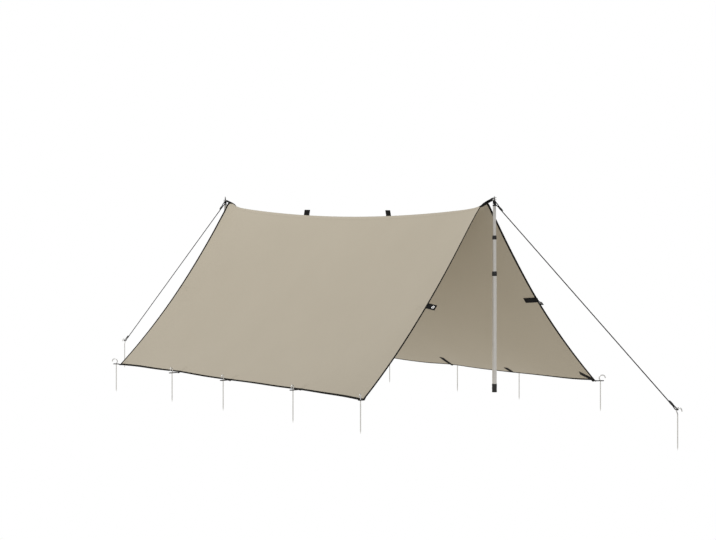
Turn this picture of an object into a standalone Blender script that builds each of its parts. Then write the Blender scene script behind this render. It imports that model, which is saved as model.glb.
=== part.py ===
"""Camping tarp pitched as a ridge shelter.

A square cotton tarp hangs over a line between the tips of two telescopic poles.
Its two long edges are pegged to the ground, its two gable ends are open, and a
guy line runs from each pole tip to a peg beyond it. Metres, +Z up. The origin is
the middle of the front pole's foot, on the ground. The ridge runs along X, the
front is +X, the near side is -Y and the far side is +Y.
"""

import math

import bmesh
import bpy
from mathutils import Matrix, Vector

# The pitch as a whole
POLE_SPACING = 3.16
MIDDLE_X = -POLE_SPACING / 2
TARP_LENGTH = 2.96
HALF_LENGTH = TARP_LENGTH / 2
HALF_WIDTH = 0.96

# The ridge: a shallow hanging curve that turns up and widens where the pole straps pull on it
RIDGE_LOW = 1.0905
RIDGE_CURVE = 0.031
RIDGE_PEAK = 0.034
PEAK_REACH = 0.05
PEAK_FADE = 6
RIDGE_RADIUS = 0.015
RIDGE_END_RADIUS = 0.04
RADIUS_REACH = 0.09

# The slopes: how far the cloth hangs below a straight line from ridge to eave
BELLY_END = 0.0745
BELLY_MIDDLE = 0.16
BELLY_FLAT = 0.45
EAVE_LOW = 0.0132
EAVE_LIFT = 0.0033
EAVE_SCALLOP = 0.008
LIFT_REACH = 0.2

# Cloth, edge tape and webbing
CLOTH = 0.0024
TAPE_WIDTH = 0.013
EAVE_TAPE_PLAN = 0.011
TAPE_PROUD = 0.0008
WEB_WIDTH = 0.036
WEB_THICK = 0.002
GAP = 0.0003

# Pegs: round steel wire with an open hook, driven straight down
PEG_RADIUS = 0.0035
PEG_DEPTH = 0.195
PEG_OUT = 0.055
CORNER_OUT = (0.0285, 0.0285)
NEAR_FRONT_OUT = (0.027, 0.036)
HOOK_RADIUS = 0.0205
HOOK_JOG = 0.008
HOOK_CENTRE_Z = 0.0255
NEAR_HOOK = Vector((0.6, -0.8))
NEAR_PEGS = (-0.668, -0.005, 0.817)
FAR_PEGS = (-0.831, -0.015, 0.665)

# Peg loops: a sewn strip of webbing and an elastic cord
STRIP_LENGTH = 0.098
STRIP_PAST_EDGE = 0.009
LOOP_RADIUS = 0.0025
LOOP_TURN = 0.010
LOOP_PAST_PEG = 0.012
LOOP_LEG = 0.0055
CORNER_CLEAR = 0.004
TONGUE_HALF = 0.008
LOOP_Z = 0.0095

# Webbing tabs on the ridge and halfway down each gable edge
RIDGE_TAB_PLACE = 0.483
RIDGE_TAB_WIDTH = 0.052
RIDGE_TAB_HEIGHT = 0.040
RIDGE_TAB_THICK = 0.0035
RIDGE_TAB_LEAN = math.radians(15)
GABLE_TAB_Y = 0.458
GABLE_TAB_INSIDE = 0.113
GABLE_TAB_OUT = 0.078
GABLE_EYELET_OUT = 0.054
GABLE_EYELET_RADIUS = 0.0065
TAB_BEND = 0.014
TAB_TURNS = {"near_front": 6, "near_rear": 88, "far_front": 24, "far_rear": 50}

# Strap of doubled webbing from the ridge's end to the pole's spike, where its two layers part
STRAP_START = 0.039
STRAP_HALF_WIDTH = 0.0225
STRAP_LAYER = 0.0018
STRAP_PAST_SPIKE = 0.019
STRAP_HOLE = 0.0048
STRAP_LIFT = 0.0016
STRAP_FORK = 0.045
STRAP_FLAT = 0.02
STRAP_LOW_Z = 1.1972
STRAP_HIGH_Z = 1.2205

# Telescopic pole, from the ground up
LOWER_RADIUS = 0.014
MIDDLE_RADIUS = 0.012
UPPER_RADIUS = 0.010
FOOT_RADIUS = 0.0156
FOOT_BEVEL = 0.0015
FOOT_HEIGHT = 0.053
FOOT_FLOOR = 0.008
LOWER_TOP = 0.747
MIDDLE_TOP = 0.974
UPPER_TOP = 1.172
LOWER_COLLAR = (0.015, 0.014)
UPPER_COLLAR = (0.012, 0.013)
COLLAR_WALL = 0.0016
COLLAR_TAPER = 0.004
TIP_Z = 1.235
SPIKE_RADIUS = 0.004
PLUG_RADIUS = 0.0115
PLUG_TOP = 1.1822
PLUG_BEVEL = 0.003

# Guy lines
GUY_REACH = 1.568
GUY_RADIUS = 0.00225
GUY_TOP_Z = 1.1925
GUY_PEG_Z = 0.0335
GUY_HOOK_BACK = 0.0064
GUY_HOOK_ROOM = 0.0014
STRAND_SIDE = 0.005
UPPER_SLIDER_AT = 0.072
LOWER_SLIDER_FROM_PEG = 0.054
SLIDER_WIDTH = 0.0185
SLIDER_THICK = 0.008
SLIDER_LENGTH = 0.024

# How finely the curved pieces are cut; rows lie closer together over the ridge and at its ends
RIDGE_ROWS = (0.0, 0.007, 0.015, 0.028, 0.05)
SLOPE_STEPS = 11
END_ROWS = (0.0, 0.016, 0.034, 0.06, 0.1)
COLUMN_SPACING = 0.14
ROUND_STEPS = 16
ROD_SIDES = 8


def clear_scene():
    for thing in list(bpy.data.objects):
        bpy.data.objects.remove(thing, do_unlink=True)


def material(name, colour, roughness, metallic=0.0):
    made = bpy.data.materials.new(name)
    made.use_nodes = True
    shader = made.node_tree.nodes["Principled BSDF"]
    shader.inputs["Base Color"].default_value = (*colour, 1.0)
    shader.inputs["Roughness"].default_value = roughness
    shader.inputs["Metallic"].default_value = metallic
    made.diffuse_color = (*colour, 1.0)
    return made


def place(name, data, finish):
    thing = bpy.data.objects.new(name, data)
    data.materials.append(finish)
    bpy.context.scene.collection.objects.link(thing)
    return thing


def hidden(thing):
    thing.hide_render = True
    thing.display_type = "WIRE"
    return thing


def boolean(thing, other, operation):
    cut = thing.modifiers.new(operation.title(), "BOOLEAN")
    cut.operation = operation
    cut.solver = "EXACT"
    cut.object = hidden(other)


# The cloth's surface, with x measured from the middle of the ridge


def pegs_of(side):
    inner = NEAR_PEGS if side < 0 else FAR_PEGS
    return (-HALF_LENGTH, *inner, HALF_LENGTH)


def smooth(t):
    t = min(1.0, max(0.0, t))
    return t * t * (3 - 2 * t)


def bumps(x, places):
    """1 at each place, falling to 0 between them."""
    return min(1.0, sum(math.exp(-(((x - place) / LIFT_REACH) ** 2)) for place in places))


def from_end(x):
    return max(0.0, HALF_LENGTH - abs(x))


def eave_y(x, side):
    return HALF_WIDTH - EAVE_SCALLOP * (1 - bumps(x, pegs_of(side)))


def eave_z(x, side):
    return EAVE_LOW + EAVE_LIFT * bumps(x, pegs_of(side)[1:-1])


def belly(x):
    toward_end = smooth((abs(x) / HALF_LENGTH - BELLY_FLAT) / (1 - BELLY_FLAT))
    return BELLY_MIDDLE + (BELLY_END - BELLY_MIDDLE) * toward_end


def rounded(x, y):
    """Distance from the ridge, flattened over its rounded top."""
    wider = RIDGE_END_RADIUS - RIDGE_RADIUS
    radius = RIDGE_RADIUS + wider * math.exp(-from_end(x) / RADIUS_REACH)
    return math.sqrt(y * y + radius * radius) - radius


def cloth_z(x, y, side):
    down = rounded(x, y) / rounded(x, eave_y(x, side))
    up = max(0.0, 1 - down)
    top = RIDGE_LOW + RIDGE_CURVE * x * x
    peak = RIDGE_PEAK * math.exp(-from_end(x) / PEAK_REACH) * up**PEAK_FADE
    return top * (1 - down) + eave_z(x, side) * down - 4 * belly(x) * down * (1 - down) + peak


def cloth_normal(x, y, side):
    step = 0.0005
    along = (cloth_z(x + step, y, side) - cloth_z(x - step, y, side)) / (2 * step)
    across = (cloth_z(x, y + step, side) - cloth_z(x, abs(y - step), side)) / (2 * step)
    return Vector((-along, -across * side, 1.0)).normalized()


def skin(x, y, side, lift=0.0):
    """The world point lift above the cloth's upper face, y away from the ridge, kept in its plane of x."""
    _, sideways, upward = cloth_normal(x, y, side)
    shift = Vector((0, sideways, upward)) * (lift / (sideways**2 + upward**2))
    return Vector((MIDDLE_X + x, side * y, cloth_z(x, y, side))) + shift


def plumb_skin(x, y, side, lift=0.0):
    """The same, but straight above or below the place on the cloth."""
    height = cloth_z(x, y, side) + lift / cloth_normal(x, y, side).z
    return Vector((MIDDLE_X + x, side * y, height))


# Mesh helpers


def slab(name, upper, lower, finish):
    """A closed sheet between two grids of points, given as rows of vectors."""
    mesh = bmesh.new()
    top = [[mesh.verts.new(p) for p in row] for row in upper]
    bottom = [[mesh.verts.new(p) for p in row] for row in lower]
    rows, columns = len(top), len(top[0])
    for i in range(rows - 1):
        for j in range(columns - 1):
            mesh.faces.new((top[i][j], top[i][j + 1], top[i + 1][j + 1], top[i + 1][j]))
            mesh.faces.new((bottom[i][j], bottom[i + 1][j], bottom[i + 1][j + 1], bottom[i][j + 1]))
    rim = [(i, 0) for i in range(rows)]
    rim += [(rows - 1, j) for j in range(1, columns)]
    rim += [(i, columns - 1) for i in range(rows - 2, -1, -1)]
    rim += [(0, j) for j in range(columns - 2, 0, -1)]
    for (a, b), (c, d) in zip(rim, rim[1:] + rim[:1]):
        mesh.faces.new((top[a][b], top[c][d], bottom[c][d], bottom[a][b]))
    bmesh.ops.recalc_face_normals(mesh, faces=mesh.faces)
    data = bpy.data.meshes.new(name)
    mesh.to_mesh(data)
    mesh.free()
    data.shade_smooth()
    data.set_sharp_from_angle(angle=math.radians(40))
    return place(name, data, finish)


def turned(name, profile, finish, x=0.0):
    """A piece turned on the pole's axis, from (radius, z) points that form a closed outline."""
    mesh = bmesh.new()
    ring = [mesh.verts.new((radius, 0, z)) for radius, z in profile]
    edges = [mesh.edges.new(pair) for pair in zip(ring, ring[1:])]
    if profile[0][0] > 0:
        edges.append(mesh.edges.new((ring[-1], ring[0])))
    bmesh.ops.spin(
        mesh,
        geom=ring + edges,
        cent=(0, 0, 0),
        axis=(0, 0, 1),
        angle=2 * math.pi,
        steps=ROUND_STEPS,
        use_merge=True,
    )
    bmesh.ops.remove_doubles(mesh, verts=mesh.verts, dist=1e-6)
    bmesh.ops.recalc_face_normals(mesh, faces=mesh.faces)
    data = bpy.data.meshes.new(name)
    mesh.to_mesh(data)
    mesh.free()
    data.shade_smooth()
    data.set_sharp_from_angle(angle=math.radians(35))
    thing = place(name, data, finish)
    thing.location.x = x
    return thing


def wire(name, points, radius, finish, last=1.0):
    """A round rod or cord swept along a list of points; last is the size of its end."""
    points = [Vector(point) for point in points]
    legs = [(b - a).normalized() for a, b in zip(points, points[1:])]
    headings = [legs[0]] + [(a + b).normalized() for a, b in zip(legs, legs[1:])] + [legs[-1]]
    side = headings[0].orthogonal().normalized()
    mesh = bmesh.new()
    rings = []
    for number, (point, heading) in enumerate(zip(points, headings)):
        side = (side - heading * side.dot(heading)).normalized()
        up = heading.cross(side)
        size = radius * (last if number == len(points) - 1 else 1.0)
        turns = [2 * math.pi * k / ROD_SIDES for k in range(ROD_SIDES)]
        spokes = [side * math.cos(t) + up * math.sin(t) for t in turns]
        rings.append([mesh.verts.new(point + spoke * size) for spoke in spokes])
    for low, high in zip(rings, rings[1:]):
        for k in range(ROD_SIDES):
            after = (k + 1) % ROD_SIDES
            mesh.faces.new((low[k], low[after], high[after], high[k]))
    mesh.faces.new(reversed(rings[0]))
    mesh.faces.new(rings[-1])
    bmesh.ops.recalc_face_normals(mesh, faces=mesh.faces)
    data = bpy.data.meshes.new(name)
    mesh.to_mesh(data)
    mesh.free()
    data.shade_smooth()
    data.set_sharp_from_angle(angle=math.radians(60))
    return place(name, data, finish)


def bridged(name, outlines, finish):
    """A closed piece through a row of closed outlines with equal numbers of points."""
    mesh = bmesh.new()
    rings = [[mesh.verts.new(p) for p in outline] for outline in outlines]
    count = len(rings[0])
    for low, high in zip(rings, rings[1:]):
        for k in range(count):
            after = (k + 1) % count
            mesh.faces.new((low[k], low[after], high[after], high[k]))
    mesh.faces.new(reversed(rings[0]))
    mesh.faces.new(rings[-1])
    bmesh.ops.triangulate(mesh, faces=mesh.faces)
    bmesh.ops.recalc_face_normals(mesh, faces=mesh.faces)
    data = bpy.data.meshes.new(name)
    mesh.to_mesh(data)
    mesh.free()
    data.shade_smooth()
    data.set_sharp_from_angle(angle=math.radians(40))
    return place(name, data, finish)


def mirror(points):
    """Swap the points between the front and the rear end."""
    for point in points:
        point.x = 2 * MIDDLE_X - point.x


def drill(name, at, facing, radius):
    """A cutter for a round hole."""
    bpy.ops.mesh.primitive_cylinder_add(vertices=12, radius=radius, depth=0.06)
    cutter = bpy.context.object
    cutter.name = name
    cutter.rotation_euler = facing.to_track_quat("Z", "Y").to_euler()
    cutter.location = at
    return cutter


def arc(centre, radius, start, end, steps):
    """Points (along, up) on an arc, with angles in degrees."""
    turns = [math.radians(start + (end - start) * i / steps) for i in range(steps + 1)]
    return [(centre[0] + radius * math.cos(a), centre[1] + radius * math.sin(a)) for a in turns]


# The cloth and its edges


def length_stations(side):
    """x positions along the cloth between the gable tapes, with one at each edge of every peg strip."""
    half = HALF_LENGTH - TAPE_WIDTH - GAP
    rear = [row - half for row in END_ROWS]
    edges = [x + step for x in pegs_of(side)[1:-1] for step in (-WEB_WIDTH / 2, WEB_WIDTH / 2)]
    marks = rear + edges + [-x for x in reversed(rear)]
    stations = [marks[0]]
    for start, stop in zip(marks, marks[1:]):
        parts = math.ceil((stop - start) / COLUMN_SPACING)
        stations += [start + (stop - start) * k / parts for k in range(1, parts + 1)]
    return stations


def slope_stations(x, side, short=0.0):
    """Distances from the ridge, down to the eave or short of it."""
    last = eave_y(x, side) - short
    start = RIDGE_ROWS[-1]
    steps = [start + (last - start) * k / SLOPE_STEPS for k in range(1, SLOPE_STEPS + 1)]
    return [*RIDGE_ROWS, *steps]


def panel(name, side, finish):
    rows_up, rows_down = [], []
    for x in length_stations(side):
        ys = slope_stations(x, side, EAVE_TAPE_PLAN + GAP)
        ys[0] = GAP / 2
        rows_up.append([skin(x, y, side) for y in ys])
        rows_down.append([skin(x, y, side, -CLOTH) for y in ys])
        rows_down[-1][0].y = side * GAP / 2
    return slab(name, rows_up, rows_down, finish)


def eave_tape(name, side, finish):
    rows_up, rows_down = [], []
    for x in length_stations(side):
        ys = [eave_y(x, side) - EAVE_TAPE_PLAN, eave_y(x, side)]
        rows_up.append([plumb_skin(x, y, side, TAPE_PROUD) for y in ys])
        rows_down.append([plumb_skin(x, y, side, -CLOTH - TAPE_PROUD) for y in ys])
    return slab(name, rows_up, rows_down, finish)


def gable_tape(name, end, finish):
    """The tape on one gable edge, from the near corner over the ridge to the far one."""
    rows_up, rows_down = [], []
    ys = slope_stations(HALF_LENGTH, 1)
    for side, y in [(-1, y) for y in reversed(ys)] + [(1, y) for y in ys[1:]]:
        xs = (end * (HALF_LENGTH - TAPE_WIDTH), end * HALF_LENGTH)
        rows_up.append([skin(x, y, side, TAPE_PROUD) for x in xs])
        rows_down.append([skin(x, y, side, -CLOTH - TAPE_PROUD) for x in xs])
    return slab(name, rows_up, rows_down, finish)


# Webbing


def ridge_strap(name, end, finish):
    """Two layers of webbing on the ridge's end that rise to the pole's spike and part round it."""
    pole = POLE_SPACING / 2
    fork = pole - STRAP_FORK
    tip = pole + STRAP_PAST_SPIKE
    start_z = cloth_z(HALF_LENGTH, 0, 1) + STRAP_LIFT

    def saddle(x, aside):
        """How far the strap hangs down at its edges, less and less towards the pole."""
        fall = cloth_z(HALF_LENGTH, 0, 1) - cloth_z(HALF_LENGTH, aside, 1)
        return fall * (1 - smooth((x - HALF_LENGTH) / (pole - HALF_LENGTH - STRAP_FLAT)))

    def bare(x, y):
        """The strap's underside beyond the cloth: it rises steeply at first and is level at the spike."""
        along = min(1.0, (x - HALF_LENGTH) / (pole - HALF_LENGTH))
        height = start_z + (STRAP_HIGH_Z - start_z) * math.sin(along * math.pi / 2)
        return Vector((MIDDLE_X + x, y, height - saddle(x, y)))

    on_cloth = [HALF_LENGTH - STRAP_START * k for k in (1, 0.5, 0)]
    stem = [HALF_LENGTH + (fork - HALF_LENGTH) * k for k in (0.5, 1)]
    branch = [fork + (pole - fork) * k for k in (0.35, 0.7, 1)] + [tip]
    double = Vector((0, 0, 2 * STRAP_LAYER))
    thick = Vector((0, 0, STRAP_LAYER))
    upper, lower = [], []
    for aside in (-1, -0.5, 0, 0.5, 1):
        y = aside * STRAP_HALF_WIDTH
        side = -1 if y < 0 else 1
        floor = [plumb_skin(x, abs(y), side, STRAP_LIFT) for x in on_cloth]
        floor += [bare(x, y) for x in stem]
        roof = [p + double for p in floor]
        crotch = floor[-1] + thick
        over = [bare(x, y) + double for x in branch]
        parting = [smooth((x - fork) / STRAP_FORK) * (STRAP_HIGH_Z - STRAP_LOW_Z) for x in branch]
        under = [p - double - Vector((0, 0, gap)) for p, gap in zip(over, parting)]
        inner_low = [p + thick for p in under]
        inner_high = [p - thick for p in over]
        upper.append(roof + over + inner_high[::-1] + [crotch])
        lower.append(floor + under + inner_low[::-1])
    outlines = [top + bottom[::-1] for top, bottom in zip(upper, lower)]
    if end < 0:
        mirror(point for outline in outlines for point in outline)
    strap = bridged(name, outlines, finish)
    spike = Vector((MIDDLE_X + end * pole, 0, STRAP_LOW_Z))
    boolean(strap, drill(f"{name}_hole", spike, Vector((0, 0, 1)), STRAP_HOLE), "DIFFERENCE")


def ridge_tab(name, end, finish):
    """A doubled piece of webbing that stands up from the ridge seam."""
    middle = end * RIDGE_TAB_PLACE
    lean = -end * RIDGE_TAB_HEIGHT * math.tan(RIDGE_TAB_LEAN)
    rows_up, rows_down = [], []
    for k in range(5):
        across = RIDGE_TAB_WIDTH * (k / 4 - 0.5)
        base_x = middle + across
        low = Vector((MIDDLE_X + base_x, 0, cloth_z(base_x, 0, 1) + 2 * GAP))
        high = Vector((MIDDLE_X + base_x + lean, 0, cloth_z(middle, 0, 1) + RIDGE_TAB_HEIGHT))
        half = Vector((0, RIDGE_TAB_THICK / 2, 0))
        rows_up.append([low + half, high + half])
        rows_down.append([low - half, high - half])
    return slab(name, rows_up, rows_down, finish)


def gable_tab(name, side, end, turn, finish):
    """Webbing sewn inside the cloth halfway down a gable edge; its free end bends inwards at the edge."""
    under = -CLOTH - TAPE_PROUD - GAP
    _, sideways, upward = cloth_normal(HALF_LENGTH, GABLE_TAB_Y, side)
    inward = -Vector((0, sideways, upward)).normalized()
    half = WEB_WIDTH / 2 * inward.z * -1
    bend = math.radians(turn)

    def free(length):
        """How far the free end is from the edge at a length along it, and its inner side's direction."""
        straight = max(0.0, length - TAB_BEND)
        angle = bend * (length - straight) / TAB_BEND
        radius = TAB_BEND / bend
        outward = radius * math.sin(angle) + straight * math.cos(angle)
        drop = radius * (1 - math.cos(angle)) + straight * math.sin(angle)
        away = Vector((outward, 0, 0)) + inward * drop
        return away, inward * math.cos(angle) - Vector((math.sin(angle), 0, 0))

    rows_up, rows_down = [], []
    for length in [-GABLE_TAB_INSIDE * k / 5 for k in (5, 4, 3, 2, 1, 0)]:
        x = HALF_LENGTH + length
        ys = [GABLE_TAB_Y + j * half for j in (-1, 0, 1)]
        rows_up.append([skin(x, y, side, under) for y in ys])
        rows_down.append([skin(x, y, side, under - WEB_THICK) for y in ys])
    curved = [TAB_BEND * k / 4 for k in (1, 2, 3, 4)]
    for length in [*curved, GABLE_TAB_OUT]:
        away, inner = free(length)
        rows_up.append([p + away for p in rows_up[5]])
        rows_down.append([p + away + inner * WEB_THICK for p in rows_up[5]])
    away, facing = free(GABLE_EYELET_OUT)
    eyelet = skin(HALF_LENGTH, GABLE_TAB_Y, side, under - WEB_THICK / 2) + away
    if end < 0:
        mirror(sum(rows_up + rows_down, [eyelet]))
        facing.x = -facing.x
    tab = slab(name, rows_up, rows_down, finish)
    boolean(tab, drill(f"{name}_hole", eyelet, facing, GABLE_EYELET_RADIUS), "DIFFERENCE")


# Pegs and their loops


def peg_spots():
    """(name, point on the cloth's edge, outward direction in plan, peg's place) for each peg."""
    spots = []
    for label, side in (("near", -1), ("far", 1)):
        xs = pegs_of(side)
        for number, x in enumerate(xs, 1):
            away = (0, PEG_OUT)
            if number in (1, len(xs)):
                away = NEAR_FRONT_OUT if side < 0 < x else CORNER_OUT
            away = Vector((math.copysign(away[0], x), side * away[1]))
            edge = Vector((x, side * eave_y(x, side)))
            spots.append((label, number, edge, away.normalized(), edge + away))
    return spots


def peg(name, spot, out, finish):
    """A wire peg at a plan position, its hook open towards out."""
    route = [(0, -PEG_DEPTH), (0, -PEG_DEPTH + 0.018), (0, -0.05), (0, 0.006), (-0.002, 0.013)]
    route += arc((HOOK_RADIUS - HOOK_JOG, HOOK_CENTRE_Z), HOOK_RADIUS, 183, 4, 7)
    points = [(spot.x + out.x * a, spot.y + out.y * a, z) for a, z in reversed(route)]
    return wire(name, points, PEG_RADIUS, finish, last=0.25)


def peg_loop(name, side, edge, out, peg_at, finish):
    """The webbing strip under the cloth's edge and the cord loop that hooks on the peg."""
    across = Vector((-out.y, out.x))
    clear = CORNER_CLEAR if abs(out.x) > 0 else 0.0
    under = -CLOTH - TAPE_PROUD - GAP
    inner = edge - out * 0.05
    fall = cloth_z(inner.x, abs(inner.y), side) - cloth_z(edge.x, abs(edge.y), side)
    plan_length = STRIP_LENGTH / math.sqrt(1 + (fall / 0.05) ** 2)
    rows_up, rows_down = [], []
    for past in [-plan_length * k / 4 for k in (4, 3, 2, 1)] + [0.0, STRIP_PAST_EDGE + clear]:
        narrowing = min(1.0, max(0.0, 1 + past / 0.03))
        half = WEB_WIDTH / 2 + (TONGUE_HALF - WEB_WIDTH / 2) * narrowing
        spots = [edge + out * past + across * half * j for j in (-1, 0, 1)]
        rows_up.append([plumb_skin(p.x, abs(p.y), side, under) for p in spots])
        rows_down.append([plumb_skin(p.x, abs(p.y), side, under - WEB_THICK) for p in spots])
        for high, low in zip(rows_up[-1], rows_down[-1]):
            low.z = max(low.z, GAP)
            high.z = max(high.z, GAP + WEB_THICK)
    strip = slab(name, rows_up, rows_down, finish)
    span = (peg_at - edge).length
    legs = [(LOOP_LEG + clear, LOOP_LEG), (0.012 + clear, 0.0075)]
    legs += [(span * 0.6, 0.0085), (span, 0.0096)]
    turn = arc((span + LOOP_PAST_PEG, 0), LOOP_TURN, 75, -75, 4)
    points = []
    for along, aside in legs + turn + [(a, -b) for a, b in reversed(legs)]:
        spot = edge + out * along + across * aside
        height = LOOP_Z
        if along < span * 0.5:
            start = plumb_skin(spot.x, abs(spot.y), side, under - WEB_THICK / 2).z
            height = max(start, LOOP_RADIUS + 0.001)
        points.append((MIDDLE_X + spot.x, spot.y, height))
    boolean(strip, wire(f"{name}_cord", points, LOOP_RADIUS, finish), "UNION")
    return strip


# Poles


def pole(prefix, x, tube, grip, rubber, steel):
    bore = LOWER_RADIUS + GAP
    cup = [(0, 0), (FOOT_RADIUS - FOOT_BEVEL, 0), (FOOT_RADIUS, FOOT_BEVEL), (FOOT_RADIUS, FOOT_HEIGHT)]
    cup += [(bore, FOOT_HEIGHT), (bore, FOOT_FLOOR), (0, FOOT_FLOOR)]
    turned(f"{prefix}_pole_foot", cup, rubber, x)
    sections = (
        ("lower", LOWER_RADIUS, FOOT_FLOOR + GAP, LOWER_TOP - GAP),
        ("middle", MIDDLE_RADIUS, LOWER_TOP, MIDDLE_TOP - GAP),
        ("upper", UPPER_RADIUS, MIDDLE_TOP, UPPER_TOP),
    )
    for label, radius, low, high in sections:
        outline = [(0, low), (radius, low), (radius, high), (0, high)]
        turned(f"{prefix}_pole_{label}_tube", outline, tube, x)
    collars = (
        ("lower", LOWER_RADIUS, MIDDLE_RADIUS, LOWER_TOP, *LOWER_COLLAR),
        ("upper", MIDDLE_RADIUS, UPPER_RADIUS, MIDDLE_TOP, *UPPER_COLLAR),
    )
    for label, wide, slim, joint, below, above in collars:
        outer = wide + COLLAR_WALL
        outline = [(wide + GAP, joint - below), (outer, joint - below)]
        outline += [(outer, joint + above - COLLAR_TAPER), (slim + COLLAR_WALL, joint + above)]
        outline += [(slim + GAP, joint + above), (slim + GAP, joint + GAP), (wide + GAP, joint + GAP)]
        turned(f"{prefix}_pole_{label}_collar", outline, grip, x)
    base = UPPER_TOP + GAP
    plug = [(0, base), (PLUG_RADIUS, base), (PLUG_RADIUS, PLUG_TOP - PLUG_BEVEL)]
    plug += [(PLUG_RADIUS - PLUG_BEVEL, PLUG_TOP), (SPIKE_RADIUS, PLUG_TOP)]
    point = [(SPIKE_RADIUS, TIP_Z - SPIKE_RADIUS), (SPIKE_RADIUS / 2, TIP_Z), (0, TIP_Z)]
    turned(f"{prefix}_pole_tip", plug + point, steel, x)


# Guy lines


def guy_frame(end):
    """The line's start, its end and its direction, from the pole's head to the peg."""
    pole_x = MIDDLE_X + end * POLE_SPACING / 2
    top = Vector((pole_x, 0, GUY_TOP_Z))
    foot = Vector((pole_x + end * (GUY_REACH - GUY_HOOK_BACK), 0, GUY_PEG_Z))
    return top, foot, (foot - top).normalized(), (foot - top).length


def guy_line(name, end, finish):
    """One cord: a loop round the pole's head, the line, and a loop round the peg, each held by a slider."""
    top, foot, along, length = guy_frame(end)
    low = length - LOWER_SLIDER_FROM_PEG
    round_head = SPIKE_RADIUS + GUY_RADIUS + GAP
    round_peg = PEG_RADIUS + GUY_RADIUS + GAP + GUY_HOOK_ROOM

    def strand(s, aside):
        return top + along * s + Vector((0, end * aside, 0))

    def level(origin, ahead, aside, drop=0.0):
        return origin + Vector((end * ahead, end * aside, -drop))

    points = [strand(UPPER_SLIDER_AT + s, STRAND_SIDE) for s in (0.018, 0.008, -0.015)]
    points += [strand(0.018, 0.0066), level(top, 0.004, round_head)]
    points += [level(top, -a, b) for a, b in arc((0, 0), round_head, 90, -90, 6)]
    points += [level(top, 0.004, -round_head), strand(0.018, -0.0066)]
    points += [strand(UPPER_SLIDER_AT + s, -STRAND_SIDE) for s in (-0.015, 0.010)]
    points += [strand(low + s, -STRAND_SIDE) for s in (-0.014, 0.014)]
    points += [level(foot, -0.010, -round_peg, -0.006)]
    points += [level(foot, a, b) for a, b in arc((0, 0), round_peg, -90, 90, 6)]
    points += [level(foot, -0.010, round_peg, -0.006)]
    points += [strand(low + s, STRAND_SIDE) for s in (0.014, -0.014)]
    points += [strand(low - 0.021, STRAND_SIDE + 0.001) - Vector((0, 0, 0.003))]
    points += [strand(low - 0.025, STRAND_SIDE + 0.003) - Vector((0, 0, 0.012))]
    return wire(name, points, GUY_RADIUS, finish)


def slider(name, end, at, finish):
    """A flat tensioner on the line with a hole along it for each strand."""
    top, _, along, _ = guy_frame(end)
    centre = top + along * at
    upward = along.cross(Vector((0, 1, 0))).normalized()
    turn = Matrix((Vector((0, 1, 0)), upward, along)).transposed()
    bpy.ops.mesh.primitive_cube_add(size=1)
    plate = bpy.context.object
    plate.name = name
    plate.data.transform(Matrix.Diagonal((SLIDER_WIDTH, SLIDER_THICK, SLIDER_LENGTH, 1)))
    plate.data.materials.append(finish)
    plate.matrix_world = Matrix.Translation(centre) @ turn.to_4x4()
    for aside in (-STRAND_SIDE, STRAND_SIDE):
        spot = centre + Vector((0, aside, 0))
        boolean(plate, drill(f"{name}_hole", spot, along, GUY_RADIUS + 0.0006), "DIFFERENCE")
    return plate


def build():
    clear_scene()
    cloth = material("cotton_cloth", (0.47, 0.42, 0.34), 0.9)
    tape = material("edge_tape", (0.03, 0.028, 0.022), 0.8)
    web = material("black_webbing", (0.02, 0.02, 0.02), 0.75)
    cord = material("guy_cord", (0.04, 0.04, 0.042), 0.7)
    wire_steel = material("peg_steel", (0.62, 0.62, 0.62), 0.3, 1.0)
    aluminium = material("pole_aluminium", (0.66, 0.65, 0.62), 0.35, 1.0)
    plastic = material("black_plastic", (0.02, 0.02, 0.022), 0.45)
    rubber = material("foot_rubber", (0.025, 0.025, 0.025), 0.8)
    head = material("pole_head", (0.03, 0.03, 0.032), 0.4)

    panel("near_panel", -1, cloth)
    panel("far_panel", 1, cloth)
    eave_tape("near_eave_binding", -1, tape)
    eave_tape("far_eave_binding", 1, tape)
    for prefix, end in (("front", 1), ("rear", -1)):
        gable_tape(f"{prefix}_gable_binding", end, tape)
        ridge_strap(f"{prefix}_ridge_strap", end, web)
        ridge_tab(f"{prefix}_ridge_tab", end, web)
        gable_tab(f"near_{prefix}_gable_tab", -1, end, TAB_TURNS[f"near_{prefix}"], web)
        gable_tab(f"far_{prefix}_gable_tab", 1, end, TAB_TURNS[f"far_{prefix}"], web)
        pole(prefix, MIDDLE_X + end * POLE_SPACING / 2, aluminium, plastic, rubber, head)
        guy_line(f"{prefix}_guy_line", end, cord)
        _, foot, _, length = guy_frame(end)
        slider(f"{prefix}_upper_slider", end, UPPER_SLIDER_AT, plastic)
        slider(f"{prefix}_lower_slider", end, length - LOWER_SLIDER_FROM_PEG, plastic)
        peg(f"{prefix}_guy_peg", Vector((foot.x + end * GUY_HOOK_BACK, 0)), Vector((end, 0)), wire_steel)
    for label, number, edge, out, peg_at in peg_spots():
        side = -1 if label == "near" else 1
        peg_loop(f"{label}_peg_loop_{number}", side, edge, out, peg_at, web)
        world = Vector((MIDDLE_X + peg_at.x, peg_at.y))
        opening = NEAR_HOOK if label == "near" and number in (2, 3, 4) else out
        peg(f"{label}_peg_{number}", world, opening, wire_steel)


build()
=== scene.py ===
# %% [markdown]
# # A camping tarp, pitched as a ridge shelter
#
# The real thing is a square of cotton canvas thrown over a ridge between two poles. Its long edges are
# pegged down, its ends stay open, and a guy line holds each pole. The lesson builds it piece by piece round
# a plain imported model: every plain solid is replaced by a finer piece in the same place. All lengths are in
# metres, the ridge runs along X, the near slope faces -Y, and z = 0 is the ground that the poles stand on.

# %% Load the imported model
import math

import bmesh
import bpy
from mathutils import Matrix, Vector, noise


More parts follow.
